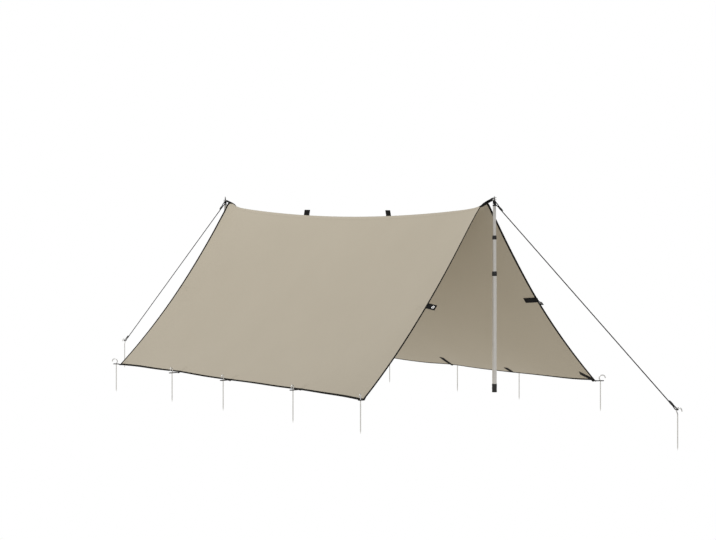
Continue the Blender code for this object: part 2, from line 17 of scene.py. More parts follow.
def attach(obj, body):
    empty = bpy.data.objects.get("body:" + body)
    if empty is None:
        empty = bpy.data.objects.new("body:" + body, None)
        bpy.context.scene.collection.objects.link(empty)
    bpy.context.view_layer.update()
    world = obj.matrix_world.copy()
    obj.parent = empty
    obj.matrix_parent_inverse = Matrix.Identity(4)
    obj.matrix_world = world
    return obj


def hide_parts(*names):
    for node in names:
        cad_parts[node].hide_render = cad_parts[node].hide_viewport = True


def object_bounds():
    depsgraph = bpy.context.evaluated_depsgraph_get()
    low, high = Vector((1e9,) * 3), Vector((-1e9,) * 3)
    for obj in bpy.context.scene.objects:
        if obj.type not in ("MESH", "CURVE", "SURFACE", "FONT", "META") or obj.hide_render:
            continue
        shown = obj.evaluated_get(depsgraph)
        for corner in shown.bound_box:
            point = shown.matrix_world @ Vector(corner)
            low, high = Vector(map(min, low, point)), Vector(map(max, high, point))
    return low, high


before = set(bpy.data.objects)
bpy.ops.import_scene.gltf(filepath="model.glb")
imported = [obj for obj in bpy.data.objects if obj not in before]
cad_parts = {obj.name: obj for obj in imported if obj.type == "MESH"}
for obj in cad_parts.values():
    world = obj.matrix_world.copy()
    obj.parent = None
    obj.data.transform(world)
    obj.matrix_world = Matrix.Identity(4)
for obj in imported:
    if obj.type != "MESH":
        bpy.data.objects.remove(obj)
cad_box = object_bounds()
box = [[round(c, 3) for c in corner] for corner in cad_box]
print("packed model:", len(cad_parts), "nodes, box", box)

# %% [markdown]
# ## Camera
#
# The photograph was taken level, from just under the height of the poles' tips, with a long lens. A camera
# that looks down would make the upright poles lean together, so the picture is lowered with the lens's
# vertical shift and the camera stays level.

# %% Camera
CAMERA_AT = (8.854, -7.612, 1.2176)
CAMERA_LOOK = Vector((-0.8042, 0.5943, 0.0))
CAMERA_LENS = 92.92
CAMERA_SHIFT = -0.0993
camera = bpy.data.objects.new("camera", bpy.data.cameras.new("camera"))
bpy.context.scene.collection.objects.link(camera)
bpy.context.scene.camera = camera
camera.location = CAMERA_AT
camera.rotation_euler = CAMERA_LOOK.to_track_quat("-Z", "Y").to_euler()
camera.data.lens = CAMERA_LENS
camera.data.sensor_width = 36
camera.data.shift_y = CAMERA_SHIFT
print("camera lens", CAMERA_LENS, "mm")

# %% [markdown]
# ## One class for node trees
#
# Materials and Geometry Nodes are both trees of nodes. Written out node by node they are long and hard to
# read, so one small class wraps a socket and gives it +, - and *, and one method adds any other node.


# %% Node trees as expressions
class Value:
    """A socket of a node tree that takes part in sums like a number."""

    def __init__(self, tree, socket):
        self.tree = tree
        self.socket = socket

    def maths(self, operation, *terms):
        return self.tree.node("ShaderNodeMath", dict(enumerate(terms)), operation=operation)

    def other(self, name):
        """Another output of the same node."""
        return Value(self.tree, self.socket.node.outputs[name])

    def __add__(self, term):
        return self.maths("ADD", self, term)

    def __radd__(self, term):
        return self.maths("ADD", term, self)

    def __sub__(self, term):
        return self.maths("SUBTRACT", self, term)

    def __rsub__(self, term):
        return self.maths("SUBTRACT", term, self)

    def __mul__(self, term):
        return self.maths("MULTIPLY", self, term)

    def __abs__(self):
        return self.maths("ABSOLUTE", self)

    def sine(self):
        return self.maths("SINE", self)

    def over(self, step):
        """1 where the value is over a step, 0 elsewhere."""
        return self.maths("GREATER_THAN", self, step)


class Tree:
    """A node tree to which nodes are added by one method."""

    def __init__(self, tree):
        self.tree = tree

    def node(self, kind, values=None, out=0, **settings):
        """Add a node: values or sockets for its inputs by name or number, and its settings by name."""
        made = self.tree.nodes.new(kind)
        for name, setting in settings.items():
            setattr(made, name, setting)
        for name, value in (values or {}).items():
            if isinstance(value, Value):
                self.tree.links.new(value.socket, made.inputs[name])
            else:
                made.inputs[name].default_value = value
        return Value(self, made.outputs[out]) if made.outputs else None

    def blend(self, factor, first, second):
        """A colour between two colours."""
        values = {0: factor, 6: (*first, 1), 7: (*second, 1)}
        return self.node("ShaderNodeMix", values, out=2, data_type="RGBA")

    def vector(self, x, y, z=0.0):
        return self.node("ShaderNodeCombineXYZ", {0: x, 1: y, 2: z})

    def clouds(self, where, scale, detail=2.0, roughness=0.5):
        """Soft noise between 0 and 1."""
        values = {"Vector": where, "Scale": scale, "Detail": detail, "Roughness": roughness}
        return self.node("ShaderNodeTexNoise", values)

    def stretched(self, where, size):
        """The same place with each axis multiplied."""
        return self.node("ShaderNodeVectorMath", {0: where, 1: size}, operation="MULTIPLY")

    def along_and_across(self, name):
        """A piece's own UV map in metres, whole and split into along it and across it."""
        place = self.node("ShaderNodeUVMap", uv_map=name)
        split = self.node("ShaderNodeSeparateXYZ", {0: place})
        return place, split, split.other("Y")


class Finish(Tree):
    """A material: constants go on the shader's own sockets, what varies is linked to it."""

    def __init__(self, name, roughness, metallic=0.0, **constants):
        self.material = bpy.data.materials.new(name)
        self.material.use_nodes = True
        super().__init__(self.material.node_tree)
        self.shader = self.tree.nodes["Principled BSDF"]
        self.shader.inputs["Roughness"].default_value = roughness
        self.shader.inputs["Metallic"].default_value = metallic
        for name, value in constants.items():
            self.shader.inputs[name.replace("_", " ")].default_value = value

    def feed(self, socket, value):
        self.tree.links.new(value.socket, self.shader.inputs[socket])

    def dress(self, shade, dark, light, roughness, height, depth, strength):
        """Link a colour between two, a varying roughness and a relief, and hand over the material."""
        self.feed("Base Color", self.blend(shade, dark, light))
        self.feed("Roughness", roughness)
        relief = {"Height": height, "Distance": depth, "Strength": strength}
        self.feed("Normal", self.node("ShaderNodeBump", relief))
        return self.material


print("node tree helpers ready")

# %% [markdown]
# ## The canvas
#
# Tarp canvas is a plain weave: each thread goes over one and under the next. Up close you see that grid and
# the slubs, short thick places in the yarn, which are longer along their own thread. From far away only a
# faint mottling is left. An image would tile, so the threads are made by sines of the cloth's own UV map in
# metres.


# %% Canvas
THREAD = 0.0007
CANVAS_DARK = (0.44, 0.390, 0.300)
CANVAS_LIGHT = (0.545, 0.488, 0.388)


def weave(along, across, pitch):
    """Height of a plain weave: the warp is on top in every other square, the weft in the rest."""
    warp = (along * (math.pi / pitch)).sine()
    weft = (across * (math.pi / pitch)).sine()
    warp_on_top = (warp * weft).over(0.0)
    return abs(warp) * warp_on_top + abs(weft) * (1 - warp_on_top)


def make_canvas():
    finish = Finish("cotton_canvas", 0.9, Sheen_Weight=0.12, Sheen_Roughness=0.6)
    place, along, across = finish.along_and_across("cloth")
    threads = weave(along, across, THREAD)
    warp_slubs = finish.clouds(finish.stretched(place, (1 / THREAD, 35.0, 1.0)), 1.0, 1.0)
    weft_slubs = finish.clouds(finish.stretched(place, (40.0, 1 / THREAD, 1.0)), 1.0, 1.0)
    mottling = finish.clouds(place, 2.2, 4.0, 0.55)
    clouds = finish.clouds(place, 0.7, 2.0)
    slubs = warp_slubs * 0.5 + weft_slubs * 0.5
    shade = threads * 0.16 + slubs * 0.5 + mottling * 0.34 + clouds * 0.16 - 0.1
    relief = threads + slubs * 1.2
    return finish.dress(shade, CANVAS_DARK, CANVAS_LIGHT, 0.84 + slubs * 0.12, relief, THREAD / 3, 0.35)


canvas = make_canvas()
print("canvas threads every", THREAD * 1000, "mm")

# %% [markdown]
# ## Tape, webbing, cord and thread
#
# The edges are bound with a dark twill tape, whose ribs run on the slant. The webbing is thicker and has
# ribs across it. The cords are braided: two families of strands cross each other round the cord. All three
# follow the piece's own UV map, so the pattern bends with the piece.


# %% Tape, webbing, cord and thread
TWILL_PITCH = 0.0012
RIB_PITCH = 0.0016
RIB_WAVE = 0.0045


def make_tape():
    finish = Finish("edge_tape_twill", 0.82, Specular_IOR_Level=0.12)
    place, along, across = finish.along_and_across("run")
    twill = ((along + across) * (2 * math.pi / TWILL_PITCH)).sine() * 0.5 + 0.5
    worn = finish.clouds(place, 60.0, 3.0)
    shade = twill * 0.35 + worn * 0.65
    dark, light = (0.004, 0.0035, 0.003), (0.016, 0.014, 0.011)
    return finish.dress(shade, dark, light, 0.72 + worn * 0.2, twill, 0.0003, 0.6)


def make_webbing():
    finish = Finish("black_ribbed_webbing", 0.75, Specular_IOR_Level=0.14)
    place, along, across = finish.along_and_across("run")
    lean = abs((across * (math.pi / RIB_WAVE)).sine())
    ribs = ((along * (2 * math.pi / RIB_PITCH)) + lean * 1.6).sine() * 0.5 + 0.5
    worn = finish.clouds(place, 90.0, 3.0)
    shade = ribs * 0.4 + worn * 0.6
    dark, light = (0.003, 0.003, 0.0032), (0.014, 0.014, 0.0145)
    return finish.dress(shade, dark, light, 0.62 + worn * 0.25, ribs + lean * 0.5, 0.0005, 0.7)


def make_braid(name, dark, light, girth, strands, pitch):
    """Braided cord: two families of strands wind round it in opposite directions."""
    finish = Finish(name, 0.7, Specular_IOR_Level=0.12)
    place, along, across = finish.along_and_across("run")
    around = across * (2 * math.pi * strands / girth)
    forward = along * (2 * math.pi / pitch)
    plait = ((forward + around).sine() * (forward - around).sine()) * 0.5 + 0.5
    fleck = finish.clouds(place, 140.0, 2.0)
    shade = plait * 0.6 + fleck * 0.4
    return finish.dress(shade, dark, light, 0.6 + fleck * 0.25, plait, 0.0004, 0.7)


def make_thread(name, dark, light):
    finish = Finish(name, 0.6, Specular_IOR_Level=0.15)
    where = finish.node("ShaderNodeTexCoord", out="Object")
    finish.feed("Base Color", finish.blend(finish.clouds(where, 900.0, 1.0), dark, light))
    return finish.material


tape_finish = make_tape()
webbing_finish = make_webbing()
guy_finish = make_braid("guy_cord_braid", (0.004, 0.004, 0.0045), (0.022, 0.022, 0.024), 0.017, 4, 0.006)
loop_finish = make_braid("loop_cord_braid", (0.004, 0.004, 0.004), (0.018, 0.018, 0.018), 0.0157, 5, 0.004)
dark_thread = make_thread("dark_thread", (0.008, 0.008, 0.008), (0.03, 0.028, 0.026))
canvas_thread = make_thread("canvas_thread", (0.33, 0.29, 0.22), (0.47, 0.42, 0.34))
print("soft finishes:", [m.name for m in (tape_finish, webbing_finish, guy_finish, loop_finish)])

# %% [markdown]
# ## Metal, plastic and rubber
#
# The pole tubes are satin aluminium: drawn through a die, so the faint streaks run along the tube. The pegs
# are zinc-coated steel wire with a patchy grey bloom. The small black parts are moulded: a fine even grain.


# %% Metal, plastic and rubber
def make_metal(name, dark, light, roughness, grain, depth):
    """Metal with streaks or patches: grain is how many times finer the pattern is along x, y and z."""
    finish = Finish(name, roughness, 1.0)
    where = finish.node("ShaderNodeTexCoord", out="Object")
    streaks = finish.clouds(finish.stretched(where, grain), 1.0, 3.0)
    patches = finish.clouds(where, 25.0, 2.0)
    shade = streaks * 0.6 + patches * 0.4
    return finish.dress(shade, dark, light, roughness - 0.08 + shade * 0.2, streaks, depth, 0.4)


def make_moulded(name, dark, light, roughness, scale, depth):
    finish = Finish(name, roughness)
    where = finish.node("ShaderNodeTexCoord", out="Object")
    grain = finish.clouds(where, scale, 2.0)
    scuffs = finish.clouds(where, 45.0, 4.0)
    return finish.dress(scuffs, dark, light, roughness - 0.1 + scuffs * 0.25, grain, depth, 0.5)


TUBE_GRAIN = (900.0, 900.0, 6.0)
WIRE_GRAIN = (120.0, 120.0, 120.0)
RING_GRAIN = (200.0, 200.0, 200.0)
SPIKE_GRAIN = (300.0, 300.0, 20.0)
TUBE_TONES = (0.70, 0.685, 0.66), (0.84, 0.825, 0.80)
WIRE_TONES = (0.72, 0.72, 0.71), (0.88, 0.88, 0.87)
RING_TONES = (0.70, 0.69, 0.67), (0.82, 0.81, 0.79)
SPIKE_TONES = (0.42, 0.42, 0.42), (0.58, 0.58, 0.57)
PLASTIC_TONES = (0.010, 0.010, 0.011), (0.026, 0.026, 0.028)
RUBBER_TONES = (0.018, 0.018, 0.018), (0.048, 0.048, 0.047)
tube_finish = make_metal("satin_aluminium", *TUBE_TONES, 0.38, TUBE_GRAIN, 0.0001)
wire_finish = make_metal("zinc_wire", *WIRE_TONES, 0.32, WIRE_GRAIN, 0.0001)
ring_finish = make_metal("nickel_ring", *RING_TONES, 0.25, RING_GRAIN, 0.00005)
spike_finish = make_metal("spike_steel", *SPIKE_TONES, 0.35, SPIKE_GRAIN, 0.00005)
plastic_finish = make_moulded("black_moulded", *PLASTIC_TONES, 0.45, 1500.0, 0.0001)
rubber_finish = make_moulded("foot_rubber_black", *RUBBER_TONES, 0.75, 700.0, 0.0002)
hard = (tube_finish, wire_finish, ring_finish, spike_finish, plastic_finish, rubber_finish)
print("hard finishes:", [m.name for m in hard])

# %% [markdown]
# ## How the cloth hangs
#
# A rope or a cloth pulled at its ends hangs in a shallow curve. The ridge sags in the middle and turns up at
# the straps, and each slope hangs below the straight line from ridge to eave, most in the middle and least
# at the taut gable edges. One formula gives the height of any place on the cloth, so the tape, the webbing
# and the stitches can all be laid on the very same surface. A cloth simulation would only add small
# differences here, because the cloth is stretched tight.

# %% The cloth's height
MIDDLE_X = -1.58
HALF_LENGTH = 1.48
HALF_WIDTH = 0.96
POLE_AT = 1.58
RIDGE_LOW = 1.093
RIDGE_TILT = 0.002
RIDGE_CURVE = 0.031
RIDGE_PEAK = 0.031
PEAK_REACH = 0.05
RIDGE_RADIUS = 0.015
RIDGE_END_RADIUS = 0.04
RADIUS_REACH = 0.09
BELLY_END = 0.0745
BELLY_MIDDLE = 0.16
BELLY_FLAT = 0.45
GABLE_LIFTS = {(-1, 1): 0.001, (-1, -1): 0.008, (1, 1): 0.010, (1, -1): 0.010}
GABLE_REACH = 0.3
GABLE_SCALE = 12.2
EAVE_LOWS = {-1: 0.0062, 1: 0.0032}
EAVE_SCALLOP = 0.007
LIFT_REACH = 0.2
NEAR_PEGS = (-HALF_LENGTH, -0.668, -0.005, 0.817, HALF_LENGTH)
FAR_PEGS = (-HALF_LENGTH, -0.831, -0.015, 0.665, HALF_LENGTH)
PEG_LIFTS = {-1: (0.005, 0.0005, 0.0045), 1: (0.004, 0.005, -0.002)}
GABLE_PULLS = {(-1, 1): 0.006, (-1, -1): 0.010, (1, 1): 0.027, (1, -1): 0.009}
PULL_REACH = 0.25
PULL_START = 0.4
CORNER_PULLS = {(-1, 1): 0.0, (-1, -1): 0.010, (1, 1): -0.016, (1, -1): 0.0}
CORNER_LOWS = {(-1, 1): 0.001, (-1, -1): 0.003, (1, 1): 0.013, (1, -1): 0.003}
CORNER_REACH = 0.15
APEX_SHIFTS = {1: 0.008, -1: -0.009}
APEX_REACH = 0.12
SHOULDERS = {(-1, 1): -0.002, (-1, -1): 0.013, (1, 1): 0.009, (1, -1): 0.001}
SHOULDER_AT = 0.032
SHOULDER_WIDTH = 0.022
SHOULDER_REACH = 0.06
RIPPLE = 0.0032
CREASE = 0.0014
CREASE_HEIGHT = 0.16
CREASE_LEANS = (-0.55, 0.0, 0.62)
SIDES = (("near", -1), ("far", 1))
ENDS = (("front", 1), ("rear", -1))


def pegs_of(side):
    return NEAR_PEGS if side < 0 else FAR_PEGS


def end_of(x):
    """1 on the front half, -1 on the rear half."""
    return 1 if x > 0 else -1


def smooth(t):
    """A soft step from 0 to 1 while t goes from 0 to 1."""
    t = min(1.0, max(0.0, t))
    return t * t * (3 - 2 * t)


def bell(distance, reach):
    """1 at no distance, falling to both sides with a rounded top."""
    return math.exp(-((distance / reach) ** 2))


def fade(distance, reach):
    """1 at no distance, falling fastest at first."""
    return math.exp(-distance / reach)


def from_end(x):
    return max(0.0, HALF_LENGTH - abs(x))


def eave_y(x, side):
    """How far out the eave runs: furthest at the pegs, with scallops between them."""
    held = min(1.0, sum(bell(x - place, LIFT_REACH) for place in pegs_of(side)))
    out = CORNER_PULLS[(side, end_of(x))] * bell(from_end(x), CORNER_REACH)
    return HALF_WIDTH - EAVE_SCALLOP * (1 - held) + out


def eave_z(x, side):
    inner_pegs = pegs_of(side)[1:-1]
    lift = sum(rise * bell(x - place, LIFT_REACH) for rise, place in zip(PEG_LIFTS[side], inner_pegs))
    low = EAVE_LOWS[side]
    return low + lift + (CORNER_LOWS[(side, end_of(x))] - low) * bell(from_end(x), CORNER_REACH)


def belly(x):
    """How far a slope hangs below the straight line."""
    toward_end = smooth((abs(x) / HALF_LENGTH - BELLY_FLAT) / (1 - BELLY_FLAT))
    return BELLY_MIDDLE + (BELLY_END - BELLY_MIDDLE) * toward_end


def rounded(x, y):
    """Distance from the ridge, flattened over its rounded top."""
    radius = RIDGE_RADIUS + (RIDGE_END_RADIUS - RIDGE_RADIUS) * fade(from_end(x), RADIUS_REACH)
    return math.sqrt(y * y + radius * radius) - radius


def ripples(x, y, side):
    """Faint unevenness: slow waves in the middle, and a fan of tension creases above each inner peg."""
    calm = smooth(from_end(x) / 0.35) * smooth(y / 0.2)
    lift = RIPPLE * calm * noise.noise(Vector((x * 1.7, y * 1.1 + side * 5.0, side * 3.0)))
    above = HALF_WIDTH - y
    width = 0.012 + 0.10 * above
    for place in pegs_of(side)[1:-1]:
        for lean in CREASE_LEANS:
            crease = CREASE * bell(x - place - lean * above, width)
            lift += crease * fade(above, CREASE_HEIGHT) * smooth(above / 0.02)
    return lift


def cloth_z(x, y, side):
    corner = (side, end_of(x))
    inside = from_end(x)
    down = rounded(x, y) / rounded(x, eave_y(x, side))
    up = max(0.0, 1 - down)
    top = RIDGE_LOW + RIDGE_TILT * x + RIDGE_CURVE * x * x
    peak = RIDGE_PEAK * fade(inside, PEAK_REACH) * up**6
    peak += GABLE_LIFTS[corner] * fade(inside, GABLE_REACH) * GABLE_SCALE * down * up**4
    shoulder = SHOULDERS[corner] * fade(inside, SHOULDER_REACH)
    peak += shoulder * bell(y - SHOULDER_AT, SHOULDER_WIDTH) * smooth(y / 0.02)
    hang = 4 * belly(x) * down * (1 - down)
    return top * (1 - down) + eave_z(x, side) * down - hang + peak + ripples(x, y, side)


def cloth_normal(x, y, side):
    step = 0.0005
    along = (cloth_z(x + step, y, side) - cloth_z(x - step, y, side)) / (2 * step)
    across = (cloth_z(x, y + step, side) - cloth_z(x, abs(y - step), side)) / (2 * step)
    return Vector((-along, -across * side, 1.0)).normalized()


def gable_pull(x, y, side):
    """How far the gable edge is drawn outwards, more and more towards the corner."""
    end = end_of(x)
    toward_corner = smooth((y / HALF_WIDTH - PULL_START) / (1 - PULL_START))
    return end * GABLE_PULLS[(side, end)] * fade(from_end(x), PULL_REACH) * toward_corner


def on_cloth(x, y, side, lift=0.0):
    """The world point a little above or below a place on the cloth."""
    shift = APEX_SHIFTS[end_of(x)] * fade(from_end(x), APEX_REACH) * bell(y, APEX_REACH)
    place = Vector((MIDDLE_X + x + gable_pull(x, y, side), side * y + shift, cloth_z(x, y, side)))
    return place + cloth_normal(x, y, side) * lift


def across_ridge(x, y, lift):
    """The same for a y of either sign, for what lies across the ridge."""
    return on_cloth(x, abs(y), -1 if y < 0 else 1, lift)


print("ridge", round(cloth_z(0, 0, 1), 3), "to", round(cloth_z(HALF_LENGTH, 0, 1), 3))

# %% [markdown]
# ## Building meshes from rows
#
# Almost every piece here is a strip: a cross-section carried along a path. One helper joins the rings of
# points and writes a UV map in metres along and round the strip, which the weave materials read.


# %% Mesh helpers
def settle(name, mesh, finish, slot, nodes, closed=True):
    """Turn a bmesh into a finished piece that rides on the tarp's only body."""
    if closed:
        bmesh.ops.recalc_face_normals(mesh, faces=mesh.faces)
    data = bpy.data.meshes.new(name)
    mesh.to_mesh(data)
    mesh.free()
    data.materials.append(finish)
    data.shade_smooth()
    data.set_sharp_from_angle(angle=math.radians(42))
    return adopt(name, data, slot, nodes)


def adopt(name, data, slot, nodes):
    """Put a mesh in the scene as a piece on the root body, and hide the plain solids it replaces."""
    piece = bpy.data.objects.new(name, data)
    bpy.context.scene.collection.objects.link(piece)
    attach(piece, "root")
    if nodes:
        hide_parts(*nodes)
    return piece


def add_sweep(mesh, rings, closed=False):
    """Join rings of points, each a closed outline, into one skin with end caps, and map it in metres."""
    layer = mesh.loops.layers.uv.get("run") or mesh.loops.layers.uv.new("run")
    rows = [[mesh.verts.new(p) for p in ring] for ring in rings]
    count = len(rings[0])
    centres = [sum(ring, Vector()) / count for ring in rings]
    lengths = [0.0]
    for before, after in zip(centres, centres[1:] + centres[:1]):
        lengths.append(lengths[-1] + (after - before).length)
    girth = [0.0]
    middle = rings[len(rings) // 2]
    for before, after in zip(middle, middle[1:] + middle[:1]):
        girth.append(girth[-1] + (after - before).length)
    for low in range(len(rows) if closed else len(rows) - 1):
        high = (low + 1) % len(rows)
        start, stop = lengths[low], lengths[low + 1]
        for k in range(count):
            after = (k + 1) % count
            face = mesh.faces.new((rows[low][k], rows[low][after], rows[high][after], rows[high][k]))
            corners = ((start, girth[k]), (start, girth[k + 1]), (stop, girth[k + 1]), (stop, girth[k]))
            for loop, corner in zip(face.loops, corners):
                loop[layer].uv = corner
    if not closed:
        mesh.faces.new(rows[0][::-1])
        mesh.faces.new(rows[-1])


def swept(name, rings, finish, slot, nodes):
    mesh = bmesh.new()
    add_sweep(mesh, rings)
    return settle(name, mesh, finish, slot, nodes)


def catmull(points, steps):
    """A smooth path through the points."""
    ends = [points[0] * 2 - points[1], *points, points[-1] * 2 - points[-2]]
    path = []
    for a, b, c, d in zip(ends, ends[1:], ends[2:], ends[3:]):
        for k in range(steps):
            t = k / steps
            curve = (2 * a - 5 * b + 4 * c - d) * t * t + (3 * b - a - 3 * c + d) * t**3
            path.append(0.5 * (2 * b + (c - a) * t + curve))
    return [*path, points[-1]]


def headings(path):
    """The direction of a path at each of its points."""
    return [(b - a).normalized() for a, b in zip([path[0], *path], [*path[1:], path[-1]])]


def face_up(ahead):
    """The upward direction across a strap that runs a given way along the ridge."""
    up = Vector((0, -1, 0)).cross(ahead).normalized()
    return up if up.z > 0 else -up


def circle(sides):
    """(cosine, sine) of equal turns round a circle."""
    turns = [2 * math.pi * k / sides for k in range(sides)]
    return [(math.cos(t), math.sin(t)) for t in turns]


def round_rings(path, radii, sides):
    """Circles along a path, turned as little as possible from one to the next."""
    ahead = headings(path)
    start = Vector((0, 0, 1)) if abs(ahead[0].z) < 0.9 else Vector((0, 1, 0))
    side = ahead[0].cross(start).normalized()
    rings = []
    for point, radius, heading in zip(path, radii, ahead):
        side = (side - heading * side.dot(heading)).normalized()
        up = heading.cross(side)
        rings.append([point + (side * cos + up * sin) * radius for cos, sin in circle(sides)])
    return rings


def cord_rings(path, radius, sides):
    return round_rings(path, [radius] * len(path), sides)


def ribbon_ring(centre, across, normal, half, thick):
    """The outline of a flat strap with soft edges; the normal points from its back to its face."""
    soft = min(thick * 0.45, half * 0.2)
    spots = [(-half + soft, 0), (half - soft, 0), (half, soft), (half, thick - soft)]
    spots += [(half - soft, thick), (half * 0.4, thick * 1.04), (-half * 0.4, thick * 1.04)]
    spots += [(-half + soft, thick), (-half, thick - soft), (-half, soft)]
    return [centre + across * a + normal * b for a, b in spots]


print("mesh helpers ready")

# %% [markdown]
# ## The canopy
#
# The tarp is two widths of canvas joined by a flat-felled seam along the ridge: both edges are folded into
# each other and sewn down twice, which leaves a band of double thickness beside the ridge. Flat quads with a
# thickness would do for a tent seen from far off. Here one continuous sheet is laid over the formula, with
# rows closer together over the rounded ridge and beside the seam, and Solidify gives it the canvas's
# thickness.

# %% Canopy
CANVAS_THICK = 0.0011
SEAM_WIDTH = 0.024
SEAM_STEP = 0.0009
SEAM_ENDS = 0.020
COLUMN = 0.0135
ROW = 0.0135
RIDGE_ROWS = (0.0, 0.002, 0.0045, 0.008, 0.012, 0.017, 0.0222, 0.0246, 0.029, 0.036, 0.045, 0.056)


def columns():
    count = round(2 * HALF_LENGTH / COLUMN)
    return [-HALF_LENGTH + 2 * HALF_LENGTH * k / count for k in range(count + 1)]


def rows_down(x, side):
    """Distances from the ridge to the eave."""
    start = RIDGE_ROWS[-1]
    last = eave_y(x, side)
    count = round((HALF_WIDTH - start) / ROW)
    return [*RIDGE_ROWS, *(start + (last - start) * k / count for k in range(1, count + 1))]


def canopy_row(x):
    """One column of points from the near eave over the ridge to the far eave."""
    points = []
    for y in reversed(rows_down(x, -1)):
        band = SEAM_STEP if 0 < y < SEAM_WIDTH and from_end(x) > SEAM_ENDS else 0.0
        points.append(on_cloth(x, y, -1, band))
    return points + [on_cloth(x, y, 1) for y in rows_down(x, 1)[1:]]


def make_canopy():
    mesh = bmesh.new()
    layer = mesh.loops.layers.uv.new("cloth")
    xs = columns()
    grid = [canopy_row(x) for x in xs]
    ridge = len(rows_down(0, -1)) - 1
    middle = grid[len(grid) // 2]
    lengths = [0.0]
    for before, after in zip(middle, middle[1:]):
        lengths.append(lengths[-1] + (after - before).length)
    lengths = [length - lengths[ridge] for length in lengths]
    rows = [[mesh.verts.new(p) for p in points] for points in grid]
    for i in range(len(rows) - 1):
        for j in range(len(rows[0]) - 1):
            face = mesh.faces.new((rows[i][j], rows[i + 1][j], rows[i + 1][j + 1], rows[i][j + 1]))
            corners = ((i, j), (i + 1, j), (i + 1, j + 1), (i, j + 1))
            for loop, (a, b) in zip(face.loops, corners):
                loop[layer].uv = (xs[a], lengths[b])
    piece = settle("canopy", mesh, canvas, "cotton_cloth", ["near_panel", "far_panel"], closed=False)
    wall = piece.modifiers.new("thickness", "SOLIDIFY")
    wall.thickness = CANVAS_THICK
    wall.offset = -1
    return piece, lengths[-1] - lengths[0]


canopy, eave_to_eave = make_canopy()
print("canopy:", len(canopy.data.polygons), "quads,", round(eave_to_eave, 3), "m from eave to eave")

# %% [markdown]
# ## The edge tape
#
# A raw canvas edge frays, so a strip of twill tape is folded round it and sewn through. Each tape is one
# C-shaped outline swept along the edge, with the canvas inside it.

# %% Edge tape
TAPE_WIDTH = 0.0145
TAPE_THICK = 0.0007
TAPE_BACK = -CANVAS_THICK - TAPE_THICK
EAVE_SLOPE_STEP = 0.011


def tape_ring(edge, inward, normal):
    back = -CANVAS_THICK
    spots = [(TAPE_WIDTH, 0.0001), (TAPE_WIDTH, TAPE_THICK), (TAPE_WIDTH / 2, TAPE_THICK + 0.0002)]
    spots += [(0.001, TAPE_THICK), (-0.0005, 0.0001), (-0.0009, back / 2), (-0.0005, back - 0.0001)]
    spots += [(0.001, TAPE_BACK), (TAPE_WIDTH / 2, TAPE_BACK - 0.0002), (TAPE_WIDTH, TAPE_BACK)]
    spots += [(TAPE_WIDTH, back - 0.0001), (0.001, back - 0.0001), (0.001, 0.0001)]
    return [edge + inward * a + normal * b for a, b in spots]


def gable_ring(end, y, side):
    edge = on_cloth(end * HALF_LENGTH, y, side)
    inner = on_cloth(end * (HALF_LENGTH - TAPE_WIDTH), y, side)
    return tape_ring(edge, (inner - edge).normalized(), cloth_normal(end * HALF_LENGTH, y, side))


def gable_places(end):
    """(y, side) along a gable edge from the near eave to the far one."""
    near = [(y, -1) for y in reversed(rows_down(end * HALF_LENGTH, -1))]
    return near + [(y, 1) for y in rows_down(end * HALF_LENGTH, 1)[1:]]


def eave_ring(x, side):
    edge = on_cloth(x, eave_y(x, side), side)
    inner = on_cloth(x, eave_y(x, side) - EAVE_SLOPE_STEP, side)
    return tape_ring(edge, (inner - edge).normalized(), cloth_normal(x, eave_y(x, side), side))


tapes = []
for label, end in ENDS:
    rings = [gable_ring(end, y, side) for y, side in gable_places(end)]
    tapes.append(swept(f"{label}_gable_tape", rings, tape_finish, "edge_tape", [f"{label}_gable_binding"]))
for label, side in SIDES:
    rings = [eave_ring(x, side) for x in columns()]
    tapes.append(swept(f"{label}_eave_tape", rings, tape_finish, "edge_tape", [f"{label}_eave_binding"]))
print("tapes:", [t.name for t in tapes])

# %% [markdown]
# ## Stitches with Geometry Nodes
#
# A seam is one small stitch repeated thousands of times at an even pitch, which is what Geometry Nodes are
# for. The tree takes seam lines as plain edges, puts points along them, and sets a low stitch of twenty
# faces on each one, turned along the seam with a little seeded unevenness. A stitch is far too small to need
# more faces.


# %% Stitches
def new_tree(name, inputs):
    """A Geometry Nodes group with named inputs, and the node that gives them."""
    group = bpy.data.node_groups.new(name, "GeometryNodeTree")
    for label, (kind, value) in inputs.items():
        made = group.interface.new_socket(label, in_out="INPUT", socket_type=f"NodeSocket{kind}")
        if value is not None:
            made.default_value = value
    group.interface.new_socket("Result", in_out="OUTPUT", socket_type="NodeSocketGeometry")
    tree = Tree(group)
    return tree, tree.node("NodeGroupInput")


def end_tree(tree, shape, material):
    """Give the shape its material and hand it out."""
    dyed = tree.node("GeometryNodeSetMaterial", {"Geometry": shape, "Material": material})
    tree.node("NodeGroupOutput", {0: dyed})
    return tree.tree


